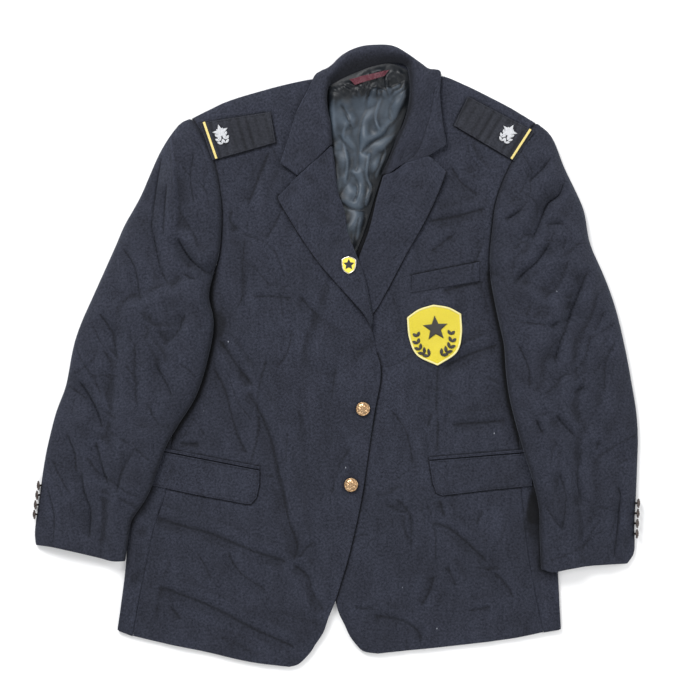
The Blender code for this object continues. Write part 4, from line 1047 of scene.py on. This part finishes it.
def cut_places(tree, stretch=(1, 1, 1), turn=0.0):
    """The places on the cut cloth, stretched."""
    return add(tree, "ShaderNodeMapping", {"Vector": stored(tree, "grain", "Vector"),
                                           "Scale": stretch,
                                           "Rotation": (0, 0, turn)}).outputs["Vector"]


def grains(tree, places, scale, detail=2.0, rough=0.5):
    return add(tree, "ShaderNodeTexNoise", {"Vector": places, "Scale": scale, "Detail": detail,
                                            "Roughness": rough}).outputs["Fac"]


def threads(tree, places, scale, distortion, detail, detail_scale):
    return add(tree, "ShaderNodeTexWave", {"Vector": places, "Scale": scale,
                                           "Distortion": distortion, "Detail": detail,
                                           "Detail Scale": detail_scale}).outputs["Fac"]


def spread(tree, value, low, high, to_low=0.0, to_high=1.0):
    return add(tree, "ShaderNodeMapRange", {"Value": value, "From Min": low, "From Max": high,
                                            "To Min": to_low, "To Max": to_high}).outputs["Result"]


def put_together(tree, how, values):
    """Values added up or multiplied, one after another."""
    total = values[0]
    for value in values[1:]:
        total = add(tree, "ShaderNodeMath", {0: total, 1: value}, operation=how).outputs[0]
    return total


def weighed(tree, *parts):
    """The sum of some values, each given with its weight."""
    return put_together(tree, "ADD", [put_together(tree, "MULTIPLY", part) for part in parts])


def mixed(tree, share, a, b):
    """A colour between two, each a socket or plain numbers."""
    a, b = (c if isinstance(c, bpy.types.NodeSocket) else (*c, 1) for c in (a, b))
    return add(tree, "ShaderNodeMix", {0: share, 6: a, 7: b}, data_type="RGBA").outputs[2]


def bumped(tree, shader, height, distance, strength):
    bump = add(tree, "ShaderNodeBump", {"Height": height, "Distance": distance,
                                        "Strength": strength})
    link(tree, shader, Normal=bump.outputs["Normal"])


def wool_finish(name, dark, pale, lint=1.0):
    """Napped twill: short fibres over a fine diagonal weave, mottled wear and a few lint flecks,
    with painted shade in creases and corners and a faint painted highlight on ridges.
    """
    made, tree, shader = finish(name, Roughness=0.92, Sheen_Weight=0.1, Sheen_Roughness=0.45,
                                Sheen_Tint=(0.62, 0.7, 0.9, 1), Specular_IOR_Level=0.25)
    cut = cut_places(tree)
    fibre = grains(tree, cut_places(tree, (1, 0.5, 1), 0.5), 1050, 3.0, 0.7)
    tuft = grains(tree, cut, 330, 2.0, 0.6)
    cloud = grains(tree, cut, 17, 5.0, 0.62)
    streak = grains(tree, cut_places(tree, (1, 0.22, 1)), 95, 3.0, 0.6)
    tone = put_together(tree, "ADD", [spread(tree, fibre, 0.36, 0.64, 0.0, 0.38),
                                      spread(tree, tuft, 0.36, 0.64, 0.0, 0.46),
                                      spread(tree, streak, 0.34, 0.66, 0.0, 0.16)])
    hollow = stored(tree, "hollow")
    # Random mottled wear, times painted shade in creases and corners and a faint painted highlight
    # on ridges.
    wear_and_painted_light = put_together(tree, "MULTIPLY", [
        spread(tree, cloud, 0.3, 0.7, 0.8, 1.22),
        spread(tree, hollow, 0.0, 1.0, 1.0, 0.58),
        spread(tree, hollow, -1.0, 0.0, 1.05, 1.0),
        spread(tree, stored(tree, "nook"), 0.0, DARKEST_PAINTED_SHADE, 1.0, 0.12)])
    shade = add(tree, "ShaderNodeCombineXYZ", {0: wear_and_painted_light, 1: wear_and_painted_light, 2: wear_and_painted_light}).outputs[0]
    cloth = add(tree, "ShaderNodeVectorMath", {0: mixed(tree, tone, dark, pale), 1: shade},
                operation="MULTIPLY").outputs[0]
    flecks = add(tree, "ShaderNodeTexVoronoi", {"Vector": cut_places(tree, (1, 0.55, 1), 1.1),
                                                "Scale": 58.0})
    fleck = spread(tree, flecks.outputs["Distance"], 0.05, 0.02)
    rare = spread(tree, flecks.outputs["Color"], 0.62, 0.64)
    linty = put_together(tree, "MULTIPLY", [fleck, rare, 0.55 * lint])
    link(tree, shader, Base_Color=mixed(tree, linty, cloth, (0.42, 0.45, 0.5)))
    twill = threads(tree, cut_places(tree, (1, 1, 1), 0.9), 340.0, 1.5, 1.0, 2.0)
    height = weighed(tree, (twill, 0.35), (fibre, 1.0), (tuft, 1.2), (streak, 1.5))
    bumped(tree, shader, height, 0.0004, 0.9)
    return made


def satin_finish(name, dark, pale):
    """Satin: fine close threads, a soft gloss that runs along the folds, and faint watering, with
    painted shade in creases and corners and a painted highlight on ridges.
    """
    made, tree, shader = finish(name, Specular_IOR_Level=0.3, Sheen_Weight=0.05,
                                Sheen_Roughness=0.3)
    cut = cut_places(tree)
    thread = grains(tree, cut_places(tree, (0.12, 1, 1)), 1500, 2.0, 0.6)
    cloud = grains(tree, cut, 34, 3.0, 0.6)
    crush = grains(tree, cut, 150, 3.0, 0.55)
    # The tone carries painted shade in creases and corners and a painted highlight on ridges.
    tone = weighed(tree, (thread, 0.3), (cloud, 0.7), (stored(tree, "hollow"), -0.2),
                   (stored(tree, "nook"), -0.6))
    link(tree, shader, Base_Color=mixed(tree, spread(tree, tone, 0.05, 0.8), dark, pale),
         Roughness=spread(tree, cloud, 0.3, 0.7, 0.44, 0.56))
    bumped(tree, shader, weighed(tree, (thread, 0.12), (crush, 1.0)), 0.0007, 0.4)
    return made


def metal_finish(name, dark, bright, roughness):
    """Gilt, rubbed in patches: some brighter and glossier, some dimmer and duller, at random."""
    made, tree, shader = finish(name, Metallic=1.0)
    cut = cut_places(tree)
    patina = grains(tree, cut, 420, 4.0, 0.6)
    rub = grains(tree, cut, 1900, 2.0, 0.5)
    link(tree, shader, Base_Color=mixed(tree, spread(tree, patina, 0.36, 0.6), dark, bright),
         Roughness=spread(tree, patina, 0.3, 0.7, roughness + 0.14, roughness - 0.08))
    bumped(tree, shader, rub, 0.00008, 0.7)
    return made


def thread_finish(name, dark, pale, across):
    """Embroidery: close parallel threads, turned by across, with a soft lustre."""
    made, tree, shader = finish(name, Roughness=0.5, Sheen_Weight=0.2, Sheen_Roughness=0.35)
    cut = cut_places(tree, (1, 1, 1), across)
    tone = weighed(tree, (threads(tree, cut, 420.0, 1.2, 2.0, 3.0), 0.55),
                   (grains(tree, cut, 700, 3.0, 0.6), 0.5))
    link(tree, shader, Base_Color=mixed(tree, spread(tree, tone, 0.15, 0.9), dark, pale))
    bumped(tree, shader, tone, 0.00035, 0.9)
    return made


def enamel_finish(name, colour):
    made, tree, shader = finish(name, Coat_Weight=0.6, Coat_Roughness=0.08)
    haze = grains(tree, cut_places(tree), 260, 3.0, 0.5)
    deep = tuple(0.8 * c for c in colour)
    link(tree, shader, Base_Color=mixed(tree, spread(tree, haze, 0.3, 0.7), deep, colour),
         Roughness=spread(tree, haze, 0.3, 0.7, 0.14, 0.26))
    bumped(tree, shader, haze, 0.00006, 0.5)
    return made


def floor_finish():
    made, tree, shader = finish("floor_white", Roughness=0.9, Specular_IOR_Level=0.1)
    places = add(tree, "ShaderNodeTexCoord", {}).outputs["Object"]
    tone = grains(tree, places, 3.0)
    link(tree, shader, Base_Color=mixed(tree, tone, (0.86, 0.86, 0.86), (0.88, 0.88, 0.88)))
    return made


# --- pieces --------------------------------------------------------------------------------------

def make_backs(wool):
    """The backs, with painted shade on the cloth where it shows down the neck."""
    knots = np.vstack([inset(LAYERS["collar_fall"], -5), inset(LAYERS["collar_fall"], -30)])
    for side in SIDES:
        ring = OUTLINES["back_" + side]
        made = panel(f"back_{side}_cloth", ring, back_floor, back_face, wool, HIDDEN_STEP, 0.8,
                     0.05, knots, shade_to_paint=lambda xy: over(xy, NECK_HOLE, 2.0, 4.0, 8.0))
        laid(dressed(made), ring)


def make_side_panels(wool):
    """Each side panel folds round the side of the body, from the front's seam to the back's."""
    where = np.linspace(0, 1, SIDE_ROWS)
    low, high = WOOL / 2, FRONT_FLOOR + FRONTED - WOOL / 2
    turn = (high - low) / 2
    for side, seed in (("left", 21), ("right", 22)):
        way = WAY[side]
        front, edge, back = (shares(EDGES[side][name], where)
                             for name in ("panel_seam", "side", "back_seam"))
        columns = []
        for t in np.linspace(0, 0.88, SIDE_FACE_COLUMNS):
            xy = front + (edge - front) * t
            lift = ripple(xy, seed, 26, 90, 0.8) * math.sin(math.pi * min(t / 0.8, 1))
            dip = 0.9 * math.exp(-(t / 0.06) ** 2)
            xy = xy + (-way * SEAM * (1 - t), 0)
            columns.append(np.column_stack([xy, high + lift - dip]))
        for angle in np.linspace(80, -90, 11):
            a = math.radians(angle)
            x = edge[:, 0] + way * (turn + WOOL / 2) - way * turn * math.cos(a)
            z = np.full(SIDE_ROWS, low + turn + turn * math.sin(a))
            columns.append(np.column_stack([x, edge[:, 1], z]))
        for t in (0.66, 0.33, 0):
            xy = back + (edge - back) * t + (-way * SEAM * 4 * (1 - t), 0)
            columns.append(np.column_stack([xy, np.full(SIDE_ROWS, low)]))
        grid = np.stack(columns, axis=1)
        on_face = grid[:, :SIDE_FACE_COLUMNS, :2]
        # Painted shadow of the sleeve on the panel's face.
        dark = np.zeros(grid.shape[:2])
        dark[:, :SIDE_FACE_COLUMNS] = painted_sleeve_shadow(on_face.reshape(-1, 2), side).reshape(SIDE_ROWS, -1)
        made = wall(f"side_panel_{side}_cloth", grid, WOOL, wool, shade_to_paint=dark)
        laid(dressed(made), grid)


def make_lining(satin):
    """The crushed satin in the neck. Returns the height of its underside."""
    ring = closed([smooth(edge, 2.2) for edge in LINING_EDGES])
    rest = lying_on(back_face, GAP, 14.0)

    def crushed(xy):
        within = ease((-outside_by(xy, ring) - 1) / 11)
        warped = xy + np.column_stack([ripple(xy, 31, 24, 70, 5.0), ripple(xy, 32, 24, 70, 5.0)])
        warped = warped * (1.0, 0.38)
        crush = 1.6 + np.abs(ripple(warped, 33, 56, 130, 7.0)) + ripple(xy, 35, 16, 48, 1.5)
        crush += np.abs(ripple(warped * (1, 1.8), 34, 8, 20, 2.6)) * ease((xy[:, 1] - 345) / 15)
        relief = crush + 1.2 * creases(xy, CREASES["lining"])
        return rest(xy) + (relief + np.log1p(np.exp(-2 * relief)) / 2) * within

    # Painted shade on the satin along both roll lines and across the top under the collar.
    def nook(xy):
        left, right = (to_line(xy, smooth(EDGES[side]["roll"] + EDGES[side]["neck"][1:], 5.0))
                       for side in SIDES)
        return (0.9 * bell(left, 7) + 1.2 * bell(right, 12)
                + 1.1 * ease((xy[:, 1] - 0.25 * xy[:, 0] - 330) / 22))

    low = sampled(crushed, ring, 1.2, 20.0)
    made = panel("lining_back_satin", ring, low, lambda xy: low(xy) + LINED, satin, 1.9, 0.5,
                 shade_to_paint=nook)
    laid(dressed(made), ring)
    return low


def make_fronts(wool, trims):
    for side, turn, below in (("right", -3, ["back_right"]),
                              ("left", 4, ["back_left", "front_right"])):
        ring, surface = OUTLINES["front_" + side], FACES[side]
        lines = [path for path, _, _ in CREASES[side] + STREWN["front_" + side]]
        made = panel(f"front_{side}_cloth", ring, lambda xy: surface(xy) - FRONTED, surface, wool,
                     knots=on_and_beside(lines), turn=turn, shade_to_paint=lambda xy: shaded(xy, side))
        laid(dressed(made), ring)


def closer_at_ends(count):
    return (1 - np.cos(np.linspace(0, math.pi, count))) / 2


def bowed(curve, a, b, where):
    """How far a curve lies off the straight line from a to b, at these shares."""
    return shares(curve, where) - (a + (b - a) * where[:, None])


def make_lapels(wool):
    """Each lapel turns round the roll line from inside the front and lies on the front's face."""
    where = np.linspace(LAPEL_FROM, 0.996, LAPEL_ROWS)
    near_gorge = ease((where - 0.72) / 0.28)[:, None]
    across = closer_at_ends(LAPEL_COLUMNS)
    for side in SIDES:
        edges, surface = EDGES[side], FACES[side]
        rolls, rims = shares(edges["roll"], where), shares(edges["lapel_edge"], where)
        wide = np.linalg.norm(rims - rolls, axis=1)[:, None]
        out = (rims - rolls) / wide
        top = surface(rolls + out * 5)[:, None]
        low = top - FRONTED + 0.7
        leaf = top + GAP + LAPEL_WALL / 2
        rise = ease((where[:, None] - 0.5) / 0.5) * (LAPEL_AT_GORGE - leaf)
        columns = [np.hstack([rolls + out * (1.15 - 0.9 * math.sin(math.pi * t)),
                              low + ((low + leaf) / 2 + rise * 0.5 - low) * t])
                   for t in (0, 0.35, 0.7)]
        lies = lying_on(surface, GAP + LAPEL_WALL / 2, 8.0)
        for u, shift in zip(across, bowed(edges["gorge"], rolls[-1], rims[-1], across)):
            spot = rolls + out * (2.4 + (wide - 2.4) * u) + shift * near_gorge
            soft = ripple(spot, 41, 24, 90, 0.7)[:, None] * min(1, 6 * u * (1 - u))
            high = np.maximum(lies(spot)[:, None], leaf + rise) + soft
            high -= 0.5 * (1 - rounded(u * wide / 5))
            if side == "left":
                high += 7.0 * bell(where[:, None] - 0.27, 0.1) * u ** 2
            columns.append(np.hstack([spot, high]))
        grid = np.stack(columns, axis=1)
        made = wall(f"lapel_{side}_cloth", grid, LAPEL_WALL, wool, -20 * WAY[side])
        laid(dressed(made), grid)


def knotted(points, where):
    """A smooth curve read by its knots' numbers, so that the sections' columns stay in step."""
    ends, last = with_ends(points), len(points) - 1
    knots = [min(share * last, last - 1e-9) for share in where]
    return np.array([between(*ends[int(knot):int(knot) + 4], knot - int(knot)) for knot in knots])


def make_collar(wool):
    """Stand, roll, leaf and fall in one strip, swept through its sections round the neck."""
    where = np.linspace(0, 1, COLLAR_ROWS)
    last = len(COLLAR_SPANS)
    columns = [knotted(COLLAR_SECTIONS[:, k], where) for k in range(last + 1)]
    strip = []
    for k, spans in enumerate(COLLAR_SPANS):
        a, b = columns[k], columns[k + 1]
        before, after = columns[max(k - 1, 0)], columns[min(k + 2, last)]
        for t in np.linspace(0, 1, spans, endpoint=False):
            strip.append(between(before, a, b, after, t) if k < 3 else a + (b - a) * t)
    grid = np.stack([*strip, columns[last]], axis=1)
    share = np.linspace(0, 1, grid.shape[1])
    flat = grid[..., :2].reshape(-1, 2)
    leaf = ease((share - 0.35) / 0.1) * ease((1 - share) / 0.06)
    front = np.maximum(ease((0.3 - where) / 0.04), ease((where - 0.66) / 0.04))
    soft = ripple(flat, 51, 22, 80, 0.8) - creases(flat, COLLAR_CREASE)
    grid[..., 2] += soft.reshape(grid.shape[:2]) * leaf * front[:, None]
    # Painted shade on the stand, from the neck seam up towards the roll.
    made = wall("collar_cloth", grid, COLLAR_WALL, wool, 35, 1.2 * ease((0.3 - share) / 0.22))
    laid(dressed(made), grid)


def sleeve_grid(side):
    """Points on the middle of a top sleeve's cloth: sections from shoulder to cuff, each from
    the cloth that turns under the outer edge, over the top, to what turns under the inner one."""
    edges = EDGES[side]
    down = np.linspace(SLEEVE_FROM, 1, SLEEVE_ROWS)
    across = closer_at_ends(SLEEVE_COLUMNS)
    outers, inners = shares(edges["sleeve_outer"], down), shares(edges["sleeve_join"], down)
    aside = left_of(unit(np.gradient(inners, axis=0)))
    inners -= aside * WAY[side] * ARMHOLE_GAP * (1 - ease((down - 0.35) / 0.1))[:, None]
    bend = bowed(edges["cuff"], outers[-1], inners[-1], across)
    xy = (outers[:, None] + (inners - outers)[:, None] * across[:, None]
          + bend * ease((down - 0.85) / 0.15)[:, None, None]).reshape(-1, 2)
    high = along_table(np.repeat(down, SLEEVE_COLUMNS), SLEEVE_SECTIONS, 1)
    from_outer, from_inner, from_seam = (to_line(xy, smooth(edges[name], 8.0))
                                         for name in ("sleeve_outer", "sleeve_inner", "armhole"))
    full = rounded(from_outer / 44) * rounded(from_inner / 40)
    edge = SLEEVE_EDGE * (0.75 + 0.25 * ease(from_seam / 60))
    lowest = sleeve_floor(xy, side) + WOOL / 2 + edge
    name = "sleeve_" + side
    depth = 1.5 * creases(xy, CREASES[name]) + BOLD * creases(xy, STREWN[name])
    depth -= ripple(xy, {"left": 61, "right": 62}[side], 26, 110, 1.6)
    z = lowest + (high - edge) * full - depth * np.maximum(full, 0.35 * ease(from_inner / 8))
    seam = along_table(xy[:, 1], ARMHOLE_HEIGHT, 1) - WOOL / 2
    blend = rounded(from_seam / 42)
    z = np.maximum(seam * (1 - blend) + z * blend, lowest)
    middle = np.column_stack([xy, z]).reshape(SLEEVE_ROWS, SLEEVE_COLUMNS, 3)
    under_outer, under_inner = (along_table(down, SLEEVE_SECTIONS, k) for k in (2, 3))
    seamed = 1 - ease((down - ARMHOLE_SHARE) / 0.06)
    outer_lip = lip(middle[:, 0], middle[:, 20], under_outer, 0 * down, side)
    inner_lip = lip(middle[:, -1], middle[:, 40], under_inner, seamed, side)
    return np.concatenate([outer_lip[:, ::-1], middle, inner_lip], axis=1)


def lip(edge, within, widths, seamed, side):
    """The cloth that turns under a sleeve's edge and lies flat beneath it, or at the armhole
    just under the seam."""
    way = left_of(unit(np.gradient(edge[:, :2], axis=0)))
    way *= np.sign(((within - edge)[:, :2] * way).sum(axis=1))[:, None]
    made = []
    for share, drop in LIP_COLUMNS:
        xy = edge[:, :2] + way * (widths * share)[:, None]
        rest = sleeve_floor(xy, side) + WOOL / 2
        rest += (np.maximum(edge[:, 2] - SEAM_TURN, rest) - rest) * seamed
        made.append(np.column_stack([xy, edge[:, 2] + (rest - edge[:, 2]) * drop]))
    return np.stack(made, axis=1)


def make_sleeves(wool):
    for side in SIDES:
        grid = sleeve_grid(side)
        flat, shape = grid[..., :2].reshape(-1, 2), grid.shape[:2]
        from_seam = to_line(flat, smooth(EDGES[side]["sleeve_join"], 6.0)).reshape(shape)
        troughs = creases(flat, CREASES["sleeve_" + side]).reshape(shape)
        # Painted shade along the armhole seam and the inner edge, and in the crease troughs.
        dark = 0.9 * bell(from_seam, 3.4) + 0.4 * np.clip(troughs / 4.5, 0, 1)
        top = wall(f"top_sleeve_{side}_cloth", grid, WOOL, wool, 22 * WAY[side], dark)
        laid(dressed(top), grid)
        ring = np.vstack([grid[::3, 0, :2], grid[-1, 30:-30, :2], grid[::-3, -1, :2]])
        under = panel(f"under_sleeve_{side}_cloth", ring, lambda xy: sleeve_floor(xy, side),
                      lambda xy: sleeve_floor(xy, side) + WOOL, wool, HIDDEN_STEP, 0.7, 1.0)
        laid(dressed(under), ring)


def edge_stitched(low, thick, ring, by):
    """The upper height of a lined flap: pressed thin along a line of stitches inside its edge."""
    return lambda xy: low(xy) + thick - 0.35 * bell(-outside_by(xy, ring) - by, 0.7)


def make_pockets(wool):
    """The jets, flaps and breast welt. Returns what is sewn to each front without a cut of its
    own."""
    trims = {}
    for side, turn in (("left", 11), ("right", -5)):
        low = lying_on(FACES[side], GAP)
        for kind, thick in (("jet", JET_THICK), ("flap", WOOL)):
            ring = polygon(EDGES[side][kind], TRIM_STEP)
            made = panel(f"pocket_{kind}_{side}_cloth", ring, low,
                         edge_stitched(low, thick, ring, 2.4), wool, TRIM_STEP, 0.8, turn=turn)
            dressed(made)
            if kind == "jet":
                trims[side] = [made]
            else:
                laid(made, ring)
    low = lying_on(FACES["right"], 0.15, 3.0)
    ring, foot = polygon(BREAST_WELT, TRIM_STEP), straight(*BREAST_WELT[:2], 3.0)
    made = panel("breast_welt_cloth", ring, low,
                 lambda xy: low(xy) + 0.45 + 0.85 * ease(to_line(xy, foot) / 12), wool, TRIM_STEP,
                 0.7, turn=-10)
    laid(dressed(made), ring)
    return trims


def petals(count, first, last, height):
    """A rosette: rounded petals between two radii."""
    def relief(radius, angle):
        if not first < radius < last:
            return 0.0
        dome = math.sin(math.pi * (radius - first) / (last - first))
        return height * dome * (abs(math.cos(count * angle / 2)) - 0.4)
    return relief


def make_buttons(brass, dark_brass):
    for name, spot in FRONT_BUTTONS.items():
        high = lying_on(FACES["left"], GAP, 8.0)(np.array([spot], float))[0]
        made = disc(name + "_gilt", (*spot, high), (0, 0, 1), FRONT_BUTTON,
                    petals(8, 1.9, 7.3, 0.55), brass, 72)
        dressed(made)
    for side in SIDES:
        for number, spot in enumerate(EDGES[side]["cuff_buttons"], 1):
            made = disc(f"cuff_button_{side}_{number}_metal", (*spot, CUFF_BUTTON_HEIGHT),
                        (-0.94 * WAY[side], 0, 0.34), CUFF_BUTTON, petals(6, 1.0, 4.8, 0.5),
                        dark_brass, 48)
            dressed(made)


def star_ring(centre, outer, inner, turn, step):
    """A star of STAR_POINTS points, one of them at the angle turn."""
    at = np.arange(2 * STAR_POINTS)
    angles = turn + at * math.pi / STAR_POINTS
    radii = np.where(at % 2 == 0, outer, inner)[:, None]
    corners = radii * np.stack([np.cos(angles), np.sin(angles)], axis=1) + centre
    return polygon([tuple(p) for p in corners], step)


def leaf_ring(root, length, width, turn):
    """A pointed leaf from its root, lying at an angle in degrees."""
    t = np.linspace(0, 1, 9)
    half = width / 2 * np.sin(math.pi * t) ** 0.8
    one, other = (np.column_stack([t * length, sign * half]) for sign in (1, -1))
    return turned(np.vstack([one, other[-2:0:-1]]), -turn) + root


def sprig(foot, reach, leaves, size, way, turn):
    """The leaves of a curved sprig, in pairs along a stem that bends towards one side."""
    found = []
    for k in range(leaves):
        t = (k + 0.6) / leaves
        angle = math.radians(turn + way * 62 * (1 - t))
        spot = np.array(foot) + reach * t * np.array([math.cos(angle), math.sin(angle)])
        for lean in (38, -38):
            found.append(leaf_ring(spot, size * (1.1 - 0.3 * t), size * 0.48,
                                   turn + way * 20 * (1 - 2 * t) + lean))
    return found


def embroidered(name, motifs, base, height, thread, step):
    """Several sewn motifs as one piece: each a low dome over its ring."""
    parts = [panel(f"{name}_{k}", ring, base,
                   lambda xy: base(xy) + 0.35 + height * rounded(-outside_by(xy, ring) / 1.6),
                   thread, step, 0.3, 0.0, turn=17.0 * k) for k, ring in enumerate(motifs)]
    with bpy.context.temp_override(active_object=parts[0], selected_editable_objects=parts):
        bpy.ops.object.join()
    parts[0].name = parts[0].data.name = name
    return parts[0]


def make_marks(cloth, braid, silver):
    """Shoulder marks: a cloth slide, a braid bar at its outer end and a badge of a star."""
    for side, turn in (("left", -17), ("right", 31)):
        corners = EDGES[side]["mark"]
        rest = sampled(lying_on(FACES[side], GAP, 9.0), polygon(corners, 9.0), 1.5, 12.0)
        length = np.subtract(corners[2], corners[1])
        way = length / np.linalg.norm(length)

        def low(xy):
            waves = 0.65 * np.sin(xy @ way / 1.9) * (0.6 + 0.4 * np.sin(xy @ way / 7))
            return rest(xy) + 0.65 + waves

        ring = polygon(corners, 2.2)
        mark = panel(f"shoulder_mark_{side}_cloth", ring, low,
                     edge_stitched(low, MARK_THICK, ring, 2.0), cloth, 2.6, 0.9, turn=turn)
        dressed(mark)
        on = lying_on(lambda xy: low(xy) + MARK_THICK, 0.3, 6.0)
        bar = panel(f"mark_bar_{side}_braid", polygon(EDGES[side]["bar"], 1.0), on,
                    lambda xy: on(xy) + 0.9, braid, 1.2, 0.6, turn=turn)
        dressed(bar)
        centre, tilt = BADGES[side]
        up = math.radians(90 + tilt)
        upwards = np.array([math.cos(up), math.sin(up)])
        foot = np.array(centre) - 15 * upwards
        badge = embroidered(f"mark_badge_{side}_thread",
                            [star_ring(np.array(centre) + 2.5 * upwards, 11.5, 5.2, up, 1.0),
                             *sprig(foot, 20, 4, 7.0, 1, 90 + tilt),
                             *sprig(foot, 20, 4, 7.0, -1, 90 + tilt)], on, 1.0, silver, 1.1)
        dressed(badge)
        laid(mark, ring)


def shield_ring(centre, size, tilt, step):
    """A plain heater shield: a shallow peaked top, upright sides and a rounded point."""
    half, height = size[0] / 2, size[1]
    low = -height / 2
    right = smooth([(half, 0.32 * height), (0.97 * half, -0.02 * height), (0.72 * half, 0.62 * low),
                    (0, low)], step)
    top = smooth([(0, 0.5 * height), (0.55 * half, 0.44 * height), (half, 0.32 * height)], step)
    side = closed([top, right])
    ring = np.vstack([side, (0, low), (side[1:] * (-1, 1))[::-1]])
    turn = np.array([[math.cos(tilt), -math.sin(tilt)], [math.sin(tilt), math.cos(tilt)]])
    return ring @ turn.T + centre


def make_patch(yellow, cream, dark):
    """The chest patch: a shield with a corded border, a star and two sprigs."""
    low = lying_on(FACES["right"], GAP, 7.0)
    ring, fine = (shield_ring(PATCH_CENTRE, PATCH_SIZE, PATCH_TILT, step) for step in (1.6, 0.5))
    patch = panel("shield_patch_twill", ring, low, lambda xy: low(xy) + PATCH_THICK, yellow, 2.2,
                  0.8, turn=4)
    dressed(patch)
    middle = inset(fine, 1.1)
    border = tube("shield_patch_border", middle, low(middle) + 1.1, 1.3, 0.9, cream, 1.3)
    dressed(border, replaced=False)
    centre = np.array(PATCH_CENTRE)
    motif = embroidered("shield_patch_motif",
                        [star_ring(centre + (0, 9), 17.5, 7.6, math.radians(90) + PATCH_TILT, 1.2),
                         *sprig(centre + (3.5, -28), 36, 5, 9.5, -1, 64),
                         *sprig(centre + (-3.5, -28), 36, 5, 9.5, 1, 124)],
                        lying_on(lambda xy: low(xy) + PATCH_THICK, 0.1, 2.0), 0.7, dark, 1.3)
    dressed(motif, replaced=False)
    laid(patch, ring)


def level(height):
    return lambda xy: np.full(len(xy), height)


def make_pin(enamel, rim_metal, dark_enamel):
    """The lapel pin: an enamelled shield with a metal rim and a star, on the left lapel."""
    on_lapel = lying_on(lambda xy: FACES["left"](xy) + GAP + LAPEL_WALL, 1.5 * GAP, 8.0)
    rest = on_lapel(np.array([PIN_CENTRE], float))[0] + 0.4
    ring, fine = (shield_ring(PIN_CENTRE, PIN_SIZE, 0, step) for step in (0.8, 0.6))
    pin = panel("lapel_pin_enamel", ring, level(rest),
                lambda xy: rest + 1.3 + 0.35 * rounded(-outside_by(xy, ring) / 7), enamel, 1.2, 0.5)
    dressed(pin)
    line = inset(fine, 0.7)
    rim = tube("lapel_pin_rim", line, np.full(len(line), rest + 1.1), 0.85, 0.85, rim_metal, 99.0)
    star = star_ring(np.array(PIN_CENTRE) + (0, 1.0), 8.3, 4.2, math.radians(90), 0.7)
    mark = panel("lapel_pin_mark", star, level(rest + 1.0), level(rest + 1.95), dark_enamel, 0.8,
                 0.25)
    for piece in (rim, mark):
        dressed(piece, replaced=False)


def make_label(crimson, lining_low):
    """The woven label on the lining, with a low rib inside its edge."""
    on = lying_on(lambda xy: lining_low(xy) + LINED, GAP, 4.0)
    ring = polygon(LABEL, 1.6)
    made = panel("neck_label_satin", ring, on,
                 lambda xy: on(xy) + 0.7 + 0.14 * bell(-outside_by(xy, ring) - 1.6, 0.6), crimson,
                 1.7, 0.35, turn=-18)
    laid(dressed(made), ring)


# --- floor, light and camera ---------------------------------------------------------------------

def make_floor():
    half = FLOOR_SIZE / 2
    mesh = bpy.data.meshes.new("floor")
    mesh.from_pydata([(-half, -half, 0), (half, -half, 0), (half, half, 0), (-half, half, 0)], [],
                     [(0, 1, 2, 3)])
    mesh.materials.append(floor_finish())
    made = bpy.data.objects.new("floor", mesh)
    made.location.z = -FLOOR_BELOW
    bpy.context.scene.collection.objects.link(made)


def make_light(name, place, size, power):
    data = bpy.data.lights.new(name, "AREA")
    data.shape = "SQUARE"
    data.size = size
    data.energy = power
    made = bpy.data.objects.new(name, data)
    made.location = place
    made.rotation_euler = (-Vector(place)).to_track_quat("-Z", "Y").to_euler()
    bpy.context.scene.collection.objects.link(made)


def make_camera():
    data = bpy.data.cameras.new("camera")
    data.lens = LENS
    data.sensor_width = SENSOR
    made = bpy.data.objects.new("camera", data)
    made.location = (*VIEW_CENTRE, VIEW_WIDTH * LENS / SENSOR)
    bpy.context.scene.collection.objects.link(made)
    bpy.context.scene.camera = made


def light_scene():
    scene = bpy.context.scene
    scene.view_settings.view_transform = "Standard"
    scene.world = bpy.data.worlds.new("studio")
    scene.world.use_nodes = True
    sky = scene.world.node_tree.nodes["Background"]
    sky.inputs["Color"].default_value = SKY
    sky.inputs["Strength"].default_value = SKY_STRENGTH
    for light in LIGHTS:
        make_light(*light)


def dress():
    wool = wool_finish("navy_wool", (0.0032, 0.0042, 0.0085), (0.0325, 0.0358, 0.0528))
    make_backs(wool)
    make_side_panels(wool)
    lining_low = make_lining(satin_finish("lining_satin", (0.003, 0.0045, 0.0068),
                                          (0.053, 0.071, 0.094)))
    make_lapels(wool)
    make_collar(wool)
    make_sleeves(wool)
    make_fronts(wool, make_pockets(wool))
    make_buttons(metal_finish("button_gilt", (0.21, 0.115, 0.052), (0.56, 0.385, 0.225), 0.36),
                 metal_finish("cuff_metal", (0.02, 0.015, 0.012), (0.12, 0.095, 0.085), 0.4))
    make_marks(wool_finish("mark_cloth", (0.009, 0.010, 0.014), (0.029, 0.031, 0.040), 0.0),
               thread_finish("mark_braid", (0.5, 0.36, 0.07), (0.86, 0.74, 0.3), 0.0),
               thread_finish("silver_thread", (0.27, 0.28, 0.295), (0.7, 0.71, 0.735), 0.4))
    make_patch(thread_finish("patch_yellow", (0.45, 0.34, 0.009), (0.73, 0.63, 0.024), 0.6),
               thread_finish("patch_cream", (0.58, 0.5, 0.16), (0.88, 0.82, 0.4), 0.8),
               thread_finish("patch_dark", (0.008, 0.007, 0.005), (0.03, 0.027, 0.02), 0.4))
    make_pin(enamel_finish("pin_yellow", (0.86, 0.7, 0.08)),
             metal_finish("pin_metal", (0.4, 0.36, 0.28), (0.85, 0.8, 0.68), 0.3),
             enamel_finish("pin_dark", (0.02, 0.02, 0.025)))
    make_label(thread_finish("label_crimson", (0.045, 0.002, 0.008), (0.1, 0.008, 0.022), 1.2),
               lining_low)
    make_floor()
    make_camera()
    light_scene()


dress()
